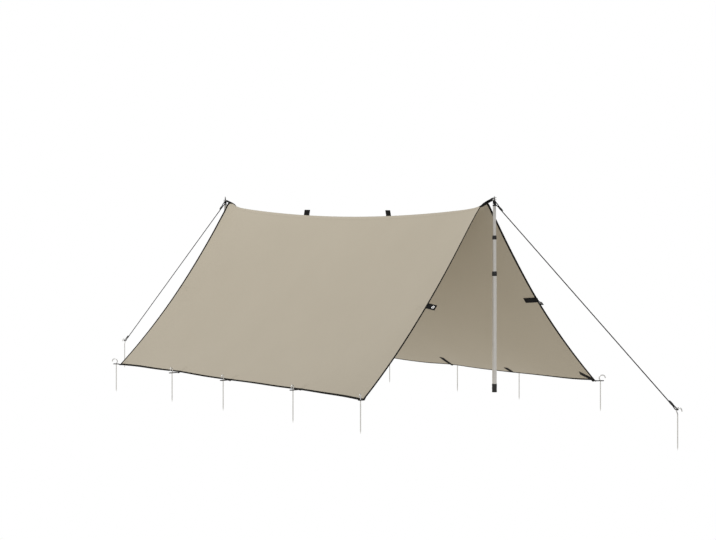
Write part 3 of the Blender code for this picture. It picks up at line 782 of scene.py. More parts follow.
def make_stitch_tree():
    inputs = {
        "Seam lines": ("Geometry", None),
        "Pitch": ("Float", 0.005),
        "Stitch length": ("Float", 0.0036),
        "Thread thickness": ("Float", 0.0007),
        "Unevenness": ("Float", 0.05),
        "Seed": ("Int", 7),
        "Thread": ("Material", None),
    }
    tree, given = new_tree("stitches", inputs)
    curve = tree.node("GeometryNodeMeshToCurve", {"Mesh": given})
    spread = {"Curve": curve, "Length": given.other("Pitch")}
    points = tree.node("GeometryNodeCurveToPoints", spread, mode="LENGTH")
    bead = tree.node("GeometryNodeMeshIcoSphere", {"Radius": 0.5, "Subdivisions": 1})
    thick = given.other("Thread thickness")
    size = tree.vector(thick, thick, given.other("Stitch length"))
    stitch = tree.node("GeometryNodeTransform", {"Geometry": bead, "Scale": size})
    uneven = given.other("Unevenness")
    limits = {"Min": tree.vector(uneven * -1.0, uneven * -1.0), "Max": tree.vector(uneven, uneven)}
    limits["Seed"] = given.other("Seed")
    jitter = tree.node("FunctionNodeRandomValue", limits, data_type="FLOAT_VECTOR")
    tilt = tree.node("FunctionNodeEulerToRotation", {0: jitter})
    turns = {0: points.other("Rotation"), 1: tilt}
    turn = tree.node("FunctionNodeRotateRotation", turns, rotation_space="LOCAL")
    copies = {"Points": points, "Instance": stitch, "Rotation": turn}
    placed = tree.node("GeometryNodeInstanceOnPoints", copies)
    real = tree.node("GeometryNodeRealizeInstances", {"Geometry": placed})
    return end_tree(tree, real, given.other("Thread"))


stitch_tree = make_stitch_tree()


def run_tree(name, source, group, settings, slot):
    """Run a Geometry Nodes tree on a mesh, keep the result as a plain mesh, and let it ride."""
    carrier = bpy.data.objects.new(f"{name}_carrier", source)
    bpy.context.scene.collection.objects.link(carrier)
    modifier = carrier.modifiers.new("tree", "NODES")
    modifier.node_group = group
    known = {item.name: item.identifier for item in group.interface.items_tree if item.in_out == "INPUT"}
    for key, value in settings.items():
        modifier[known[key]] = value
    bpy.context.view_layer.update()
    graph = bpy.context.evaluated_depsgraph_get()
    data = bpy.data.meshes.new_from_object(carrier.evaluated_get(graph))
    bpy.data.objects.remove(carrier)
    bpy.data.meshes.remove(source)
    data.name = name
    data.shade_smooth()
    return adopt(name, data, slot, [])


def sew(name, lines, thread, slot, **settings):
    """Sew along lines of points: they become a mesh of bare edges, and the stitch tree runs on it."""
    points, edges = [], []
    for line in lines:
        start = len(points)
        points += line
        edges += [(start + k, start + k + 1) for k in range(len(line) - 1)]
    source = bpy.data.meshes.new(name)
    source.from_pydata(points, edges, [])
    settings = {key.replace("_", " "): value for key, value in settings.items()}
    piece = run_tree(name, source, stitch_tree, {"Thread": thread, **settings}, slot)
    print(name, len(piece.data.polygons), "faces")
    return piece


# %% [markdown]
# The tape is sewn a few millimetres from its inner edge, and the needle goes through to the back, so the
# same row shows on both faces. The felled seam has two rows, in thread of the canvas's own colour.

# %% Seams of the canopy
STITCH_IN = TAPE_WIDTH - 0.0028
ABOVE = TAPE_THICK + 0.0002
BELOW = TAPE_BACK - 0.0002
RIDGE_SEAMS_AT = (0.003, SEAM_WIDTH - 0.0035)
RIDGE_SEAM_LIFTS = (SEAM_STEP + 0.0001, -CANVAS_THICK - 0.0001)


def gable_seam(end, lift):
    places = [(y, side) for y, side in gable_places(end) if y < HALF_WIDTH - TAPE_WIDTH]
    return [on_cloth(end * (HALF_LENGTH - STITCH_IN), y, side, lift) for y, side in places]


def eave_seam(side, lift):
    return [on_cloth(x, eave_y(x, side) - STITCH_IN * 0.8, side, lift) for x in inner_columns]


def ridge_seam(y, lift):
    return [on_cloth(x, y, -1, lift) for x in inner_columns]


inner_columns = [x for x in columns() if abs(x) < HALF_LENGTH - TAPE_WIDTH]
gable_lines = [gable_seam(end, lift) for end in (1, -1) for lift in (ABOVE, BELOW)]
eave_lines = [eave_seam(side, lift) for side in (-1, 1) for lift in (ABOVE, BELOW)]
ridge_lines = [ridge_seam(y, lift) for y in RIDGE_SEAMS_AT for lift in RIDGE_SEAM_LIFTS]
seams = [
    sew("gable_stitches", gable_lines, dark_thread, "edge_tape"),
    sew("eave_stitches", eave_lines, dark_thread, "edge_tape"),
    sew("ridge_stitches", ridge_lines, canvas_thread, "cotton_cloth"),
]

# %% [markdown]
# ## Webbing: ridge straps, ridge tabs and gable tabs
#
# Straps are flat, soft-edged ribbons. The strap at each end of the ridge is doubled: both layers are sewn
# inside the ridge and part at the end, one below the other, and each has a metal ring that slips over the
# pole's spike. A ribbon is a flat outline swept along the path that the strap takes.

# %% Eyelet rings
RING_FACES = 32


def add_ring(mesh, centre, axis, hole, outer, thick):
    """A rolled metal eyelet: a shallow dished flange on both faces and a barrel between them."""
    side = axis.orthogonal().normalized()
    up = axis.cross(side)
    half = thick / 2
    lip = (outer - hole) / 2
    spots = [(hole, -half), (hole + lip * 0.5, -half - 0.0009), (hole + lip, -half - 0.0011)]
    spots += [(outer - 0.0006, -half - 0.0007), (outer, -half - 0.0001), (outer - 0.0008, -half + 0.0001)]
    spots += [(outer - 0.0008, half - 0.0001), (outer, half + 0.0001), (outer - 0.0006, half + 0.0007)]
    spots += [(hole + lip, half + 0.0011), (hole + lip * 0.5, half + 0.0009), (hole, half)]
    ways = [side * cos + up * sin for cos, sin in circle(RING_FACES)]
    add_sweep(mesh, [[centre + way * r + axis * h for r, h in spots] for way in ways], closed=True)


print("ring faces", RING_FACES)

# %% Ridge straps
STRAP_HALF = 0.027
STRAP_END_HALF = 0.0165
STRAP_THICK = 0.0018
STRAP_INSIDE = 0.046
STRAP_INNER_HALF = 0.013
STRAP_SPAN = POLE_AT - HALF_LENGTH
STRAP_PAST = 0.0095
STRAP_UNDER = 0.0006 - TAPE_BACK
STRAP_LAYERS = (STRAP_UNDER + STRAP_THICK, STRAP_UNDER + 2 * STRAP_THICK + 0.0003)
STRAP_HEIGHTS = {1: (1.2235, 1.2105), -1: (1.2065, 1.1985)}
STRAP_TIP_ROUND = 8.6
STRAP_FLAT_FROM = 0.6
STRAP_POINTS = 8
STRAP_STEPS_INSIDE = 5
STRAP_STEPS_FREE = 14
SPIKE_RADIUS = 0.004
STRAP_RINGS = (0.0046, 0.0140)
RING_UNDER = 0.004


def strap_line(end, top_z, under):
    """Centre line of a strap layer: sewn under the ridge, then rising from the cloth's edge to the spike."""
    line = []
    for k in range(STRAP_STEPS_INSIDE + 1):
        x = HALF_LENGTH - STRAP_INSIDE * (1 - k / STRAP_STEPS_INSIDE)
        line.append(Vector((MIDDLE_X + end * x, 0, cloth_z(end * x, 0, 1) - under)))
    base = line[-1].z
    for k in range(1, STRAP_STEPS_FREE + 1):
        t = k / STRAP_STEPS_FREE * (STRAP_SPAN + STRAP_PAST) / STRAP_SPAN
        rise = (top_z - base) * (1.5 * t - 0.5 * t * t)
        line.append(Vector((MIDDLE_X + end * (HALF_LENGTH + STRAP_SPAN * t), 0, base + rise)))
    return line


def strap_ring(end, centre, ahead, depth):
    """One outline of a strap: lying under the canvas at the cloth, flat and narrower at the spike."""
    up = face_up(ahead)
    past = (abs(centre.x - MIDDLE_X) - HALF_LENGTH) / STRAP_SPAN
    half = STRAP_HALF + (STRAP_END_HALF - STRAP_HALF) * smooth(past)
    if past > 1:
        half *= math.sqrt(max(0.05, 1 - ((past - 1) * STRAP_TIP_ROUND) ** 2))
    if past < 0:
        half += (STRAP_INNER_HALF - half) * -past * STRAP_SPAN / STRAP_INSIDE
    fold = 1 - smooth((past - STRAP_FLAT_FROM) / (1 - STRAP_FLAT_FROM))
    x = end * min(HALF_LENGTH, abs(centre.x - MIDDLE_X))
    shares = [2 * k / STRAP_POINTS - 1 for k in range(STRAP_POINTS + 1)]
    spots = []
    for face, order in ((0.0, shares), (STRAP_THICK, shares[::-1])):
        middle = on_cloth(x, 0, 1, face - depth)
        for share in order:
            aside = half * share
            hung = across_ridge(x, aside, face - depth) - middle
            spots.append(centre + Vector((0, aside + (hung.y - aside) * fold, hung.z * fold)) + up * face)
    return spots


def make_strap(label, end):
    mesh = bmesh.new()
    for top_z, depth in zip(STRAP_HEIGHTS[end], STRAP_LAYERS):
        line = strap_line(end, top_z, depth)
        places = zip(line, headings(line))
        add_sweep(mesh, [strap_ring(end, centre, ahead, depth) for centre, ahead in places])
    return settle(f"{label}_strap", mesh, webbing_finish, "black_webbing", [f"{label}_ridge_strap"])


def make_strap_rings(label, end):
    mesh = bmesh.new()
    for top_z in STRAP_HEIGHTS[end]:
        line = strap_line(end, top_z, RING_UNDER)
        up = face_up((line[-1] - line[-3]).normalized())
        centre = Vector((MIDDLE_X + end * POLE_AT, 0, top_z)) + up * (STRAP_THICK / 2)
        add_ring(mesh, centre, up, *STRAP_RINGS, STRAP_THICK)
    return settle(f"{label}_strap_rings", mesh, ring_finish, "pole_head", [])


straps = []
for label, end in ENDS:
    straps += [make_strap(label, end), make_strap_rings(label, end)]
print("straps:", [p.name for p in straps])

# %% [markdown]
# The two tabs on the ridge are short loops of webbing folded double and caught in the seam, so they stand up
# and lean a little. Their top is the fold. Each is the outline of a flattened loop, swept along the ridge.

# %% Ridge tabs
RIDGE_TAB_AT = {1: 0.483, -1: -0.490}
RIDGE_TAB_WIDTH = {1: 0.052, -1: 0.066}
RIDGE_TAB_HEIGHT = 0.040
RIDGE_TAB_LEAN = math.tan(math.radians(15))
TAB_FOLD = 0.0021
TAB_FOOT = 0.0016
TAB_SUNK = 0.0004
TAB_STEPS = 12


def make_ridge_tab(label, end):
    middle = RIDGE_TAB_AT[end]
    top = cloth_z(middle, 0, 1) + RIDGE_TAB_HEIGHT
    rising = [(TAB_FOOT, 0.0), (TAB_FOLD, 0.5), (TAB_FOLD * 1.1, 0.88), (TAB_FOLD * 0.8, 0.97)]
    loop = [(-a, share) for a, share in rising] + [(0.0, 1.0)] + rising[::-1]
    rings = []
    for k in range(TAB_STEPS + 1):
        base_x = middle + RIDGE_TAB_WIDTH[end] * (k / TAB_STEPS - 0.5)
        floor = cloth_z(base_x, 0, 1) - TAB_SUNK
        soft = 1 - 0.35 * abs(2 * k / TAB_STEPS - 1) ** 6
        ring = []
        for aside, share in loop:
            lean = -end * RIDGE_TAB_HEIGHT * share * RIDGE_TAB_LEAN
            ring.append(Vector((MIDDLE_X + base_x + lean, aside * soft, floor + (top - floor) * share)))
        rings.append(ring)
    return swept(f"{label}_ridge_loop", rings, webbing_finish, "black_webbing", [f"{label}_ridge_tab"])


ridge_loops = [make_ridge_tab(label, end) for label, end in ENDS]
print("ridge tabs:", [p.name for p in ridge_loops])

# %% [markdown]
# Halfway down each gable edge a webbing tab is sewn to the inside of the canvas. Its free end carries a
# rolled eyelet. The near front one points almost straight out, the far front one droops, and the rear ones
# have folded inwards.

# %% Gable tabs
WEB_HALF = 0.0195
WEB_THICK = 0.0019
TABS = {
    ("near", "front"): {"at": 0.462, "inside": 0.113, "climb": 0.0, "turn": 16, "fall": 0, "free": 0.066},
    ("near", "rear"): {"at": 0.458, "inside": 0.113, "climb": 0.0, "turn": 88, "fall": 0, "free": 0.078},
    ("far", "front"): {"at": 0.4555, "inside": 0.114, "climb": -0.09, "turn": 4, "fall": 40, "free": 0.052},
    ("far", "rear"): {"at": 0.458, "inside": 0.113, "climb": 0.0, "turn": 50, "fall": 0, "free": 0.078},
}
TAB_BEND = 0.014
TAB_TWIST = 0.03
TAB_STEPS_INSIDE = 8
TAB_STEPS_FREE = 12
EYELET_FROM_END = 0.021
EYELET_HOLE = 0.0058
EYELET_OUTER = 0.0102


def tab_path(side, end, at, inside, climb, turn, fall, free):
    """Places and normals along a tab: first under the cloth, then bending away at the edge."""
    under = TAPE_BACK - 0.0004
    inward = -cloth_normal(end * HALF_LENGTH, at, side)
    down = Vector((0, 0, -1))
    turned = (inward * math.radians(turn) + down * math.radians(fall)).length
    toward = (inward * turn + down * fall).normalized()
    stations = []
    for k in range(TAB_STEPS_INSIDE + 1):
        back = inside * (1 - k / TAB_STEPS_INSIDE)
        x = end * (HALF_LENGTH - back)
        y = at + climb * back
        stations.append((on_cloth(x, y, side, under), -cloth_normal(x, y, side)))
    edge, face = stations[-1]
    ahead = Vector((end, 0, 0))
    radius = TAB_BEND / turned
    for k in range(1, TAB_STEPS_FREE + 1):
        length = free * k / TAB_STEPS_FREE
        straight = max(0.0, length - TAB_BEND)
        angle = (length - straight) / radius
        reach = radius * math.sin(angle) + straight * math.cos(angle)
        drop = radius * (1 - math.cos(angle)) + straight * math.sin(angle)
        facing = (toward * math.cos(angle) - ahead * math.sin(angle)).normalized()
        blend = smooth(length / TAB_TWIST)
        normal = (face * (1 - blend) + (facing if facing.dot(face) > 0 else face) * blend).normalized()
        stations.append((edge + ahead * reach + toward * drop, normal))
    return stations


def make_gable_tab(label, side, place, end):
    stations = tab_path(side, end, **TABS[(label, place)])
    centres = [centre for centre, _ in stations]
    ahead = headings(centres)
    rings = []
    for (centre, normal), way in zip(stations, ahead):
        rings.append(ribbon_ring(centre, normal.cross(way).normalized(), normal, WEB_HALF, WEB_THICK))
    name = f"{label}_{place}"
    strap = swept(f"{name}_tab", rings, webbing_finish, "black_webbing", [f"{name}_gable_tab"])
    across = stations[-1][1].cross(ahead[-1]).normalized()
    normal = ahead[-1].cross(across).normalized()
    centre = centres[-1] - ahead[-1] * EYELET_FROM_END + normal * (WEB_THICK / 2)
    mesh = bmesh.new()
    add_ring(mesh, centre, normal, EYELET_HOLE, EYELET_OUTER, WEB_THICK)
    return strap, settle(f"{name}_eyelet", mesh, ring_finish, "pole_head", [])


gable_tabs = []
for label, side in SIDES:
    for place, end in ENDS:
        gable_tabs += make_gable_tab(label, side, place, end)
print("gable tabs:", [p.name for p in gable_tabs])

# %% [markdown]
# ## Pegs, and the loops that hold the cloth to them
#
# Each peg is a length of steel wire bent into an open hook, with a blunt point at the other end. Under the
# edge of the cloth a strip of webbing is sewn on for strength. It ends in a narrow tongue, and an elastic
# cord leaves the tongue, goes round the peg and comes back.

# %% Peg places
PEG_OUT = 0.055
CORNER_OUT = (0.0285, 0.0285)
NEAR_FRONT_OUT = (0.027, 0.036)
PEG_RADIUS = 0.0035
PEG_DEPTH = 0.195
POINT_LENGTH = 0.02
POINT_SHARE = 0.18
HOOK_STEPS = 9
HOOK_RADIUS = 0.0205
HOOK_JOG = 0.008
HOOK_Z = 0.0255
HOOK_WAYS = {(-1, number): Vector((0.6, -0.8)) for number in (2, 3, 4)}
HOOK_WAYS[(-1, 5)] = Vector((0.72, -0.69))


def peg_places(side):
    """(number, edge point, outward direction, peg point) in plan, measured from the middle of the ridge."""
    places = pegs_of(side)
    for number, x in enumerate(places, 1):
        away = (0, PEG_OUT)
        if number in (1, len(places)):
            away = NEAR_FRONT_OUT if side < 0 < x else CORNER_OUT
        peg = Vector((x + math.copysign(away[0], x), side * (HALF_WIDTH + away[1])))
        edge = Vector((x, side * eave_y(x, side)))
        yield number, edge, (peg - edge).normalized(), peg


def make_peg(name, spot, out, nodes):
    """Steel wire with a point below the ground and, above it, an open hook that bends one way."""
    route = [(0, rise - PEG_DEPTH) for rise in (0, 0.004, 0.012, 0.02, 0.075, 0.135, 0.185)]
    route += [(0, 0.004), (-0.002, 0.012)]
    for k in range(HOOK_STEPS + 1):
        angle = math.radians(183 - 179 * k / HOOK_STEPS)
        ahead = HOOK_RADIUS - HOOK_JOG + HOOK_RADIUS * math.cos(angle)
        route.append((ahead, HOOK_Z + HOOK_RADIUS * math.sin(angle)))
    path = catmull([Vector((spot.x + out.x * a, spot.y + out.y * a, z)) for a, z in route], 3)
    shares = [POINT_SHARE + (1 - POINT_SHARE) * smooth((p.z + PEG_DEPTH) / POINT_LENGTH) for p in path]
    radii = [PEG_RADIUS * share for share in shares]
    path.append(path[-1] + (path[-1] - path[-2]).normalized() * 0.0012)
    radii.append(PEG_RADIUS * 0.7)
    return swept(name, round_rings(path, radii, 12), wire_finish, "peg_wire", nodes)


pegs = []
for label, side in SIDES:
    for number, _, out, spot in peg_places(side):
        world = Vector((MIDDLE_X + spot.x, spot.y))
        opening = HOOK_WAYS.get((side, number), out)
        pegs.append(make_peg(f"{label}_hook_{number}", world, opening, [f"{label}_peg_{number}"]))
print("pegs:", len(pegs))

# %% Peg loops
STRIP_LENGTH = 0.098
STRIP_LENGTHS = {(1, 3): 0.125, (1, 4): 0.080, (1, 5): 0.112}
STRIP_LAYS = {(1, 3): Vector((-0.17, 0.985)), (1, 5): Vector((0.87, 0.5))}
STRIP_UNDER = TAPE_BACK - 0.0005
STRIP_STEPS = 14
CORNER_STRIP_HALF = 0.0125
STRIP_PROBE = 0.05
TONGUE_NARROWS = 0.03
TONGUE_RISES = 0.012
GROUND_GAP = 0.0006
LOOP_RADIUS = 0.0025
LOOP_TURN = 0.010
LOOP_PAST_PEG = 0.012
LOOP_Z = 0.0085
LONG_LOOP_Z = 0.0125
TONGUE_REACH = 0.010
LONG_TONGUE_REACH = 0.024
TONGUE_HALF = 0.008


def strip_half(number):
    return CORNER_STRIP_HALF if number in (1, 5) else WEB_HALF


def tongue(side, number):
    """How far a strip's tongue reaches past the edge, and the height of its cord."""
    return (LONG_TONGUE_REACH, LONG_LOOP_Z) if side < 0 and number == 4 else (TONGUE_REACH, LOOP_Z)


def strip_rings(side, number, edge, out):
    """Webbing under the canvas that narrows to a tongue.

    It is sewn on along lay, pulled along out, and kept above the ground.
    """
    lay = STRIP_LAYS.get((side, number), out)
    full = strip_half(number)
    reach, level = tongue(side, number)
    inner = edge - lay * STRIP_PROBE
    fall = cloth_z(inner.x, abs(inner.y), side) - cloth_z(edge.x, abs(edge.y), side)
    plan = STRIP_LENGTHS.get((side, number), STRIP_LENGTH) / math.hypot(1, fall / STRIP_PROBE)
    rings = []
    for k in range(STRIP_STEPS + 1):
        past = -plan + (plan + reach) * k / STRIP_STEPS
        narrow = smooth(1 + past / TONGUE_NARROWS)
        half = full + (TONGUE_HALF - full) * narrow
        across = lay.lerp(out, narrow).normalized()
        across = Vector((-across.y, across.x))
        centre = edge + (lay if past < 0 else out) * past
        top = []
        for share in (-1, -0.5, 0, 0.5, 1):
            spot = centre + across * half * share
            high = on_cloth(spot.x, abs(spot.y), side, STRIP_UNDER)
            high.z = max(high.z, GROUND_GAP + WEB_THICK)
            high.z += (level + WEB_THICK / 2 - high.z) * smooth(past / TONGUE_RISES)
            top.append(high)
        rings.append(top + [p - Vector((0, 0, WEB_THICK)) for p in reversed(top)])
    return rings


def loop_rings(side, number, edge, out, spot):
    """A cord that leaves the tongue, goes round the peg and comes back on the tongue's other side."""
    across = Vector((-out.y, out.x))
    span = (spot - edge).length
    reach, level = tongue(side, number)
    legs = [(reach - 0.016, 0.004), (reach - 0.006, 0.0052), (reach + 0.004, 0.0068)]
    legs += [(reach + (span - reach) * 0.55, 0.0085), (span, 0.0096)]
    bight = span + LOOP_PAST_PEG
    turn = [(bight + LOOP_TURN * math.cos(a), LOOP_TURN * math.sin(a)) for a in (1.3, 0.65, 0, -0.65, -1.3)]
    points = []
    for along, aside in legs + turn + [(a, -b) for a, b in reversed(legs)]:
        place = edge + out * along + across * aside
        height = level
        if along < 0.005:
            under = on_cloth(place.x, abs(place.y), side, STRIP_UNDER - WEB_THICK / 2)
            height = max(under.z - 0.001, LOOP_RADIUS + GROUND_GAP)
        points.append(Vector((MIDDLE_X + place.x, place.y, height)))
    return cord_rings(catmull(points, 4), LOOP_RADIUS, 12)


strips, loops = [], []
for label, side in SIDES:
    for number, edge, out, spot in peg_places(side):
        nodes = [f"{label}_peg_loop_{number}"]
        strip = strip_rings(side, number, edge, out)
        loop = loop_rings(side, number, edge, out, spot)
        strips.append(swept(f"{label}_strip_{number}", strip, webbing_finish, "black_webbing", nodes))
        loops.append(swept(f"{label}_loop_{number}", loop, loop_finish, "black_webbing", nodes))
print("peg loops:", len(loops))

# %% [markdown]
# ## Poles
#
# Each pole is three tubes that slide into each other, with a black clamping collar at both joints, a rubber
# foot and a plug with a steel spike. Round parts are turned: an outline spun about the pole's axis. The ribs
# of the collars are what a hand grips, and repeat round the collar, so Geometry Nodes place them.

# %% Turned parts
TURN_FACES = 64


def turned(name, profile, finish, slot, nodes, x):
    """Spin an outline of (radius, height) about the pole's axis; it starts and ends on the axis or closes."""
    mesh = bmesh.new()
    layer = mesh.loops.layers.uv.new("run")
    rows = []
    for cos, sin in circle(TURN_FACES):
        rows.append([mesh.verts.new((x + r * cos, r * sin, z)) for r, z in profile])
    count = len(profile)
    for k in range(TURN_FACES):
        after = (k + 1) % TURN_FACES
        for j in range(count):
            above = (j + 1) % count
            widest = max(profile[j][0], profile[above][0])
            if widest == 0:
                continue
            face = mesh.faces.new((rows[k][j], rows[after][j], rows[after][above], rows[k][above]))
            girth = 2 * math.pi * widest / TURN_FACES
            for loop, (a, b) in zip(face.loops, ((k, j), (k + 1, j), (k + 1, above), (k, above))):
                loop[layer].uv = (profile[b][1], a * girth)
    bmesh.ops.remove_doubles(mesh, verts=mesh.verts, dist=1e-6)
    return settle(name, mesh, finish, slot, nodes)


# %% Ribs round a collar
RIB_COUNT = 30


def make_rib_tree():
    inputs = {
        "Centre": ("Vector", None),
        "Count": ("Int", RIB_COUNT),
        "Radius": ("Float", 0.015),
        "Rib height": ("Float", 0.012),
        "Rib width": ("Float", 0.001),
        "Plastic": ("Material", None),
    }
    tree, given = new_tree("ribs_round", inputs)
    size = {"Resolution": given.other("Count"), "Radius": given.other("Radius")}
    path = tree.node("GeometryNodeCurvePrimitiveCircle", size, mode="RADIUS")
    points = tree.node("GeometryNodeCurveToPoints", {"Curve": path}, mode="EVALUATED")
    bar = tree.node("GeometryNodeMeshCylinder", {"Vertices": 6, "Radius": 0.5, "Depth": 1.0})
    wide = given.other("Rib width")
    scale = tree.vector(wide, wide, given.other("Rib height"))
    rib = tree.node("GeometryNodeTransform", {"Geometry": bar, "Scale": scale})
    placed = tree.node("GeometryNodeInstanceOnPoints", {"Points": points, "Instance": rib})
    real = tree.node("GeometryNodeRealizeInstances", {"Geometry": placed})
    moved = tree.node("GeometryNodeTransform", {"Geometry": real, "Translation": given.other("Centre")})
    return end_tree(tree, moved, given.other("Plastic"))


rib_tree = make_rib_tree()


def ribs(name, x, z, radius, height):
    start = bpy.data.meshes.new(name)
    settings = {"Centre": (x, 0.0, z), "Radius": radius, "Rib height": height, "Plastic": plastic_finish}
    return run_tree(name, start, rib_tree, settings, "black_plastic")


# %% Pole pieces
LOWER_RADIUS = 0.014
MIDDLE_RADIUS = 0.012
UPPER_RADIUS = 0.010
FOOT_HEIGHT = 0.053
FOOT_RADIUS = 0.0156
FOOT_GROOVE = 0.0146
FOOT_BORE = 0.0143
LOWER_TOP = 0.747
MIDDLE_TOP = 0.974
UPPER_TOP = 1.172
TIP_Z = 1.235
PLUG_RADIUS = 0.0115
PLUG_TOP = 1.1822
NECK_RADIUS = 0.0043
NECK_TOP = 1.2215


def make_foot(label, x):
    """A rubber cup with four grooves, into which the lower tube stands."""
    outline = [(0, 0.0), (0.0140, 0.0), (0.0152, 0.0012), (FOOT_RADIUS, 0.004)]
    for base in (0.008, 0.0165, 0.025, 0.0335):
        outline += [(FOOT_RADIUS, base), (FOOT_GROOVE, base + 0.0012)]
        outline += [(FOOT_GROOVE, base + 0.0026), (FOOT_RADIUS, base + 0.0038)]
    outline += [(FOOT_RADIUS, 0.0495), (0.0150, FOOT_HEIGHT), (FOOT_BORE, FOOT_HEIGHT)]
    outline += [(FOOT_BORE, 0.008), (0, 0.008)]
    return turned(f"{label}_foot", outline, rubber_finish, "foot_rubber", [f"{label}_pole_foot"], x)


def make_tube(label, part, radius, low, high, x):
    """A hollow tube with softly broken edges."""
    soft = 0.0005
    bore = radius - 0.0012
    outline = [(bore, low), (radius - soft, low), (radius, low + soft), (radius, low + 0.02)]
    outline += [(radius, (low + high) / 2), (radius, high - 0.02), (radius, high - soft)]
    outline += [(radius - soft, high), (bore, high), (bore, (low + high) / 2)]
    nodes = [f"{label}_pole_{part}_tube"]
    return turned(f"{label}_{part}_section", outline, tube_finish, "pole_tube", nodes, x)


def make_collar(label, part, wide, slim, joint, below, above, x):
    """A clamping collar round a joint, waisted for the ribs, which fill the waist."""
    outer = wide + 0.0016
    waist = outer - 0.0005
    low, high = joint - below, joint + above
    rib_low, rib_high = low + 0.0046, high - 0.0085
    outline = [(wide + 0.0003, low), (outer - 0.0006, low), (outer, low + 0.0006), (outer, low + 0.004)]
    outline += [(waist, rib_low), (waist, rib_high), (outer, high - 0.0079), (outer, high - 0.0045)]
    outline += [(slim + 0.0022, high - 0.0005), (slim + 0.0014, high), (slim + 0.0003, high)]
    outline += [(slim + 0.0003, joint + 0.0004), (wide + 0.0003, joint + 0.0004)]
    nodes = [f"{label}_pole_{part}_collar"]
    clamp = turned(f"{label}_{part}_clamp", outline, plastic_finish, "black_plastic", nodes, x)
    return clamp, ribs(f"{label}_{part}_ribs", x, (rib_low + rib_high) / 2, waist, rib_high - rib_low)


def make_head(label, x):
    nodes = [f"{label}_pole_tip"]
    base = UPPER_TOP + 0.0003
    outline = [(0, base), (PLUG_RADIUS - 0.0005, base), (PLUG_RADIUS, base + 0.0005)]
    outline += [(PLUG_RADIUS, PLUG_TOP - 0.003), (PLUG_RADIUS - 0.0009, PLUG_TOP - 0.0009)]
    outline += [(PLUG_RADIUS - 0.003, PLUG_TOP), (NECK_RADIUS, PLUG_TOP), (NECK_RADIUS, NECK_TOP)]
    outline.append((0, NECK_TOP))
    plug = turned(f"{label}_plug", outline, plastic_finish, "black_plastic", nodes, x)
    foot = NECK_TOP + 0.0001
    outline = [(0, foot), (SPIKE_RADIUS, foot)]
    for share, down in ((1, 0.006), (0.93, 0.0035), (0.72, 0.0014), (0.4, 0.0003), (0, 0)):
        outline.append((SPIKE_RADIUS * share, TIP_Z - down))
    return plug, turned(f"{label}_spike", outline, spike_finish, "pole_head", nodes, x)


poles = []
for label, end in ENDS:
    x = MIDDLE_X + end * POLE_AT
    poles.append(make_foot(label, x))
    poles.append(make_tube(label, "lower", LOWER_RADIUS, 0.0083, LOWER_TOP - 0.0003, x))
    poles.append(make_tube(label, "middle", MIDDLE_RADIUS, LOWER_TOP, MIDDLE_TOP - 0.0003, x))
    poles.append(make_tube(label, "upper", UPPER_RADIUS, MIDDLE_TOP, UPPER_TOP, x))
    poles += make_collar(label, "lower", LOWER_RADIUS, MIDDLE_RADIUS, LOWER_TOP, 0.015, 0.014, x)
    poles += make_collar(label, "upper", MIDDLE_RADIUS, UPPER_RADIUS, MIDDLE_TOP, 0.012, 0.013, x)
    poles += make_head(label, x)
print("pole pieces:", len(poles))

# %% [markdown]
# ## Guy lines
#
# A guy line is a thin braided cord that runs from a loop round the pole's head to a loop in its peg's hook.
# It is pulled tight, so it is straight: a sagging line would mean a slack tent. Near each end both strands
# of the loop pass through a flat black slider, which grips the cord when it is tilted by the pull.

# %% Guy lines
GUY_REACH = {1: 1.574, -1: 1.568}
GUY_RADIUS = 0.0032
GUY_GAP = 0.0004
HEAD_GAP = 0.0003
PEG_GAP = 0.0010
TURN_ANGLES = (0.3, 0.9, 1.57, 2.24, 2.84)
GUY_TOP_Z = {1: 1.1985, -1: 1.1935}
GUY_PEG_Z = 0.0335
GUY_HOOK_BACK = 0.0064
STRAND = 0.005
IN_SLIDER = (-0.022, -0.008, 0.008, 0.022)
LOOP_OPENS = 0.028
LOOP_ASIDE = 0.0086
HEAD_TURNS = {1: 4, -1: 2}
UPPER_SLIDER_AT = 0.072
LOWER_SLIDER_FROM_PEG = 0.054
SLIDER_LENGTH = 0.024
SLIDER_HALF = 0.00925
SLIDER_THICK = 0.004
SLIDER_SQUARE = 0.42
SLIDER_STEPS = 24
SLIDER_SIDES = 20


def guy_frame(end):
    """Where the line starts and ends, its direction and its length."""
    top = Vector((MIDDLE_X + end * POLE_AT, 0, GUY_TOP_Z[end]))
    foot = Vector((top.x + end * (GUY_REACH[end] - GUY_HOOK_BACK), 0, GUY_PEG_Z))
    return top, foot, (foot - top).normalized(), (foot - top).length


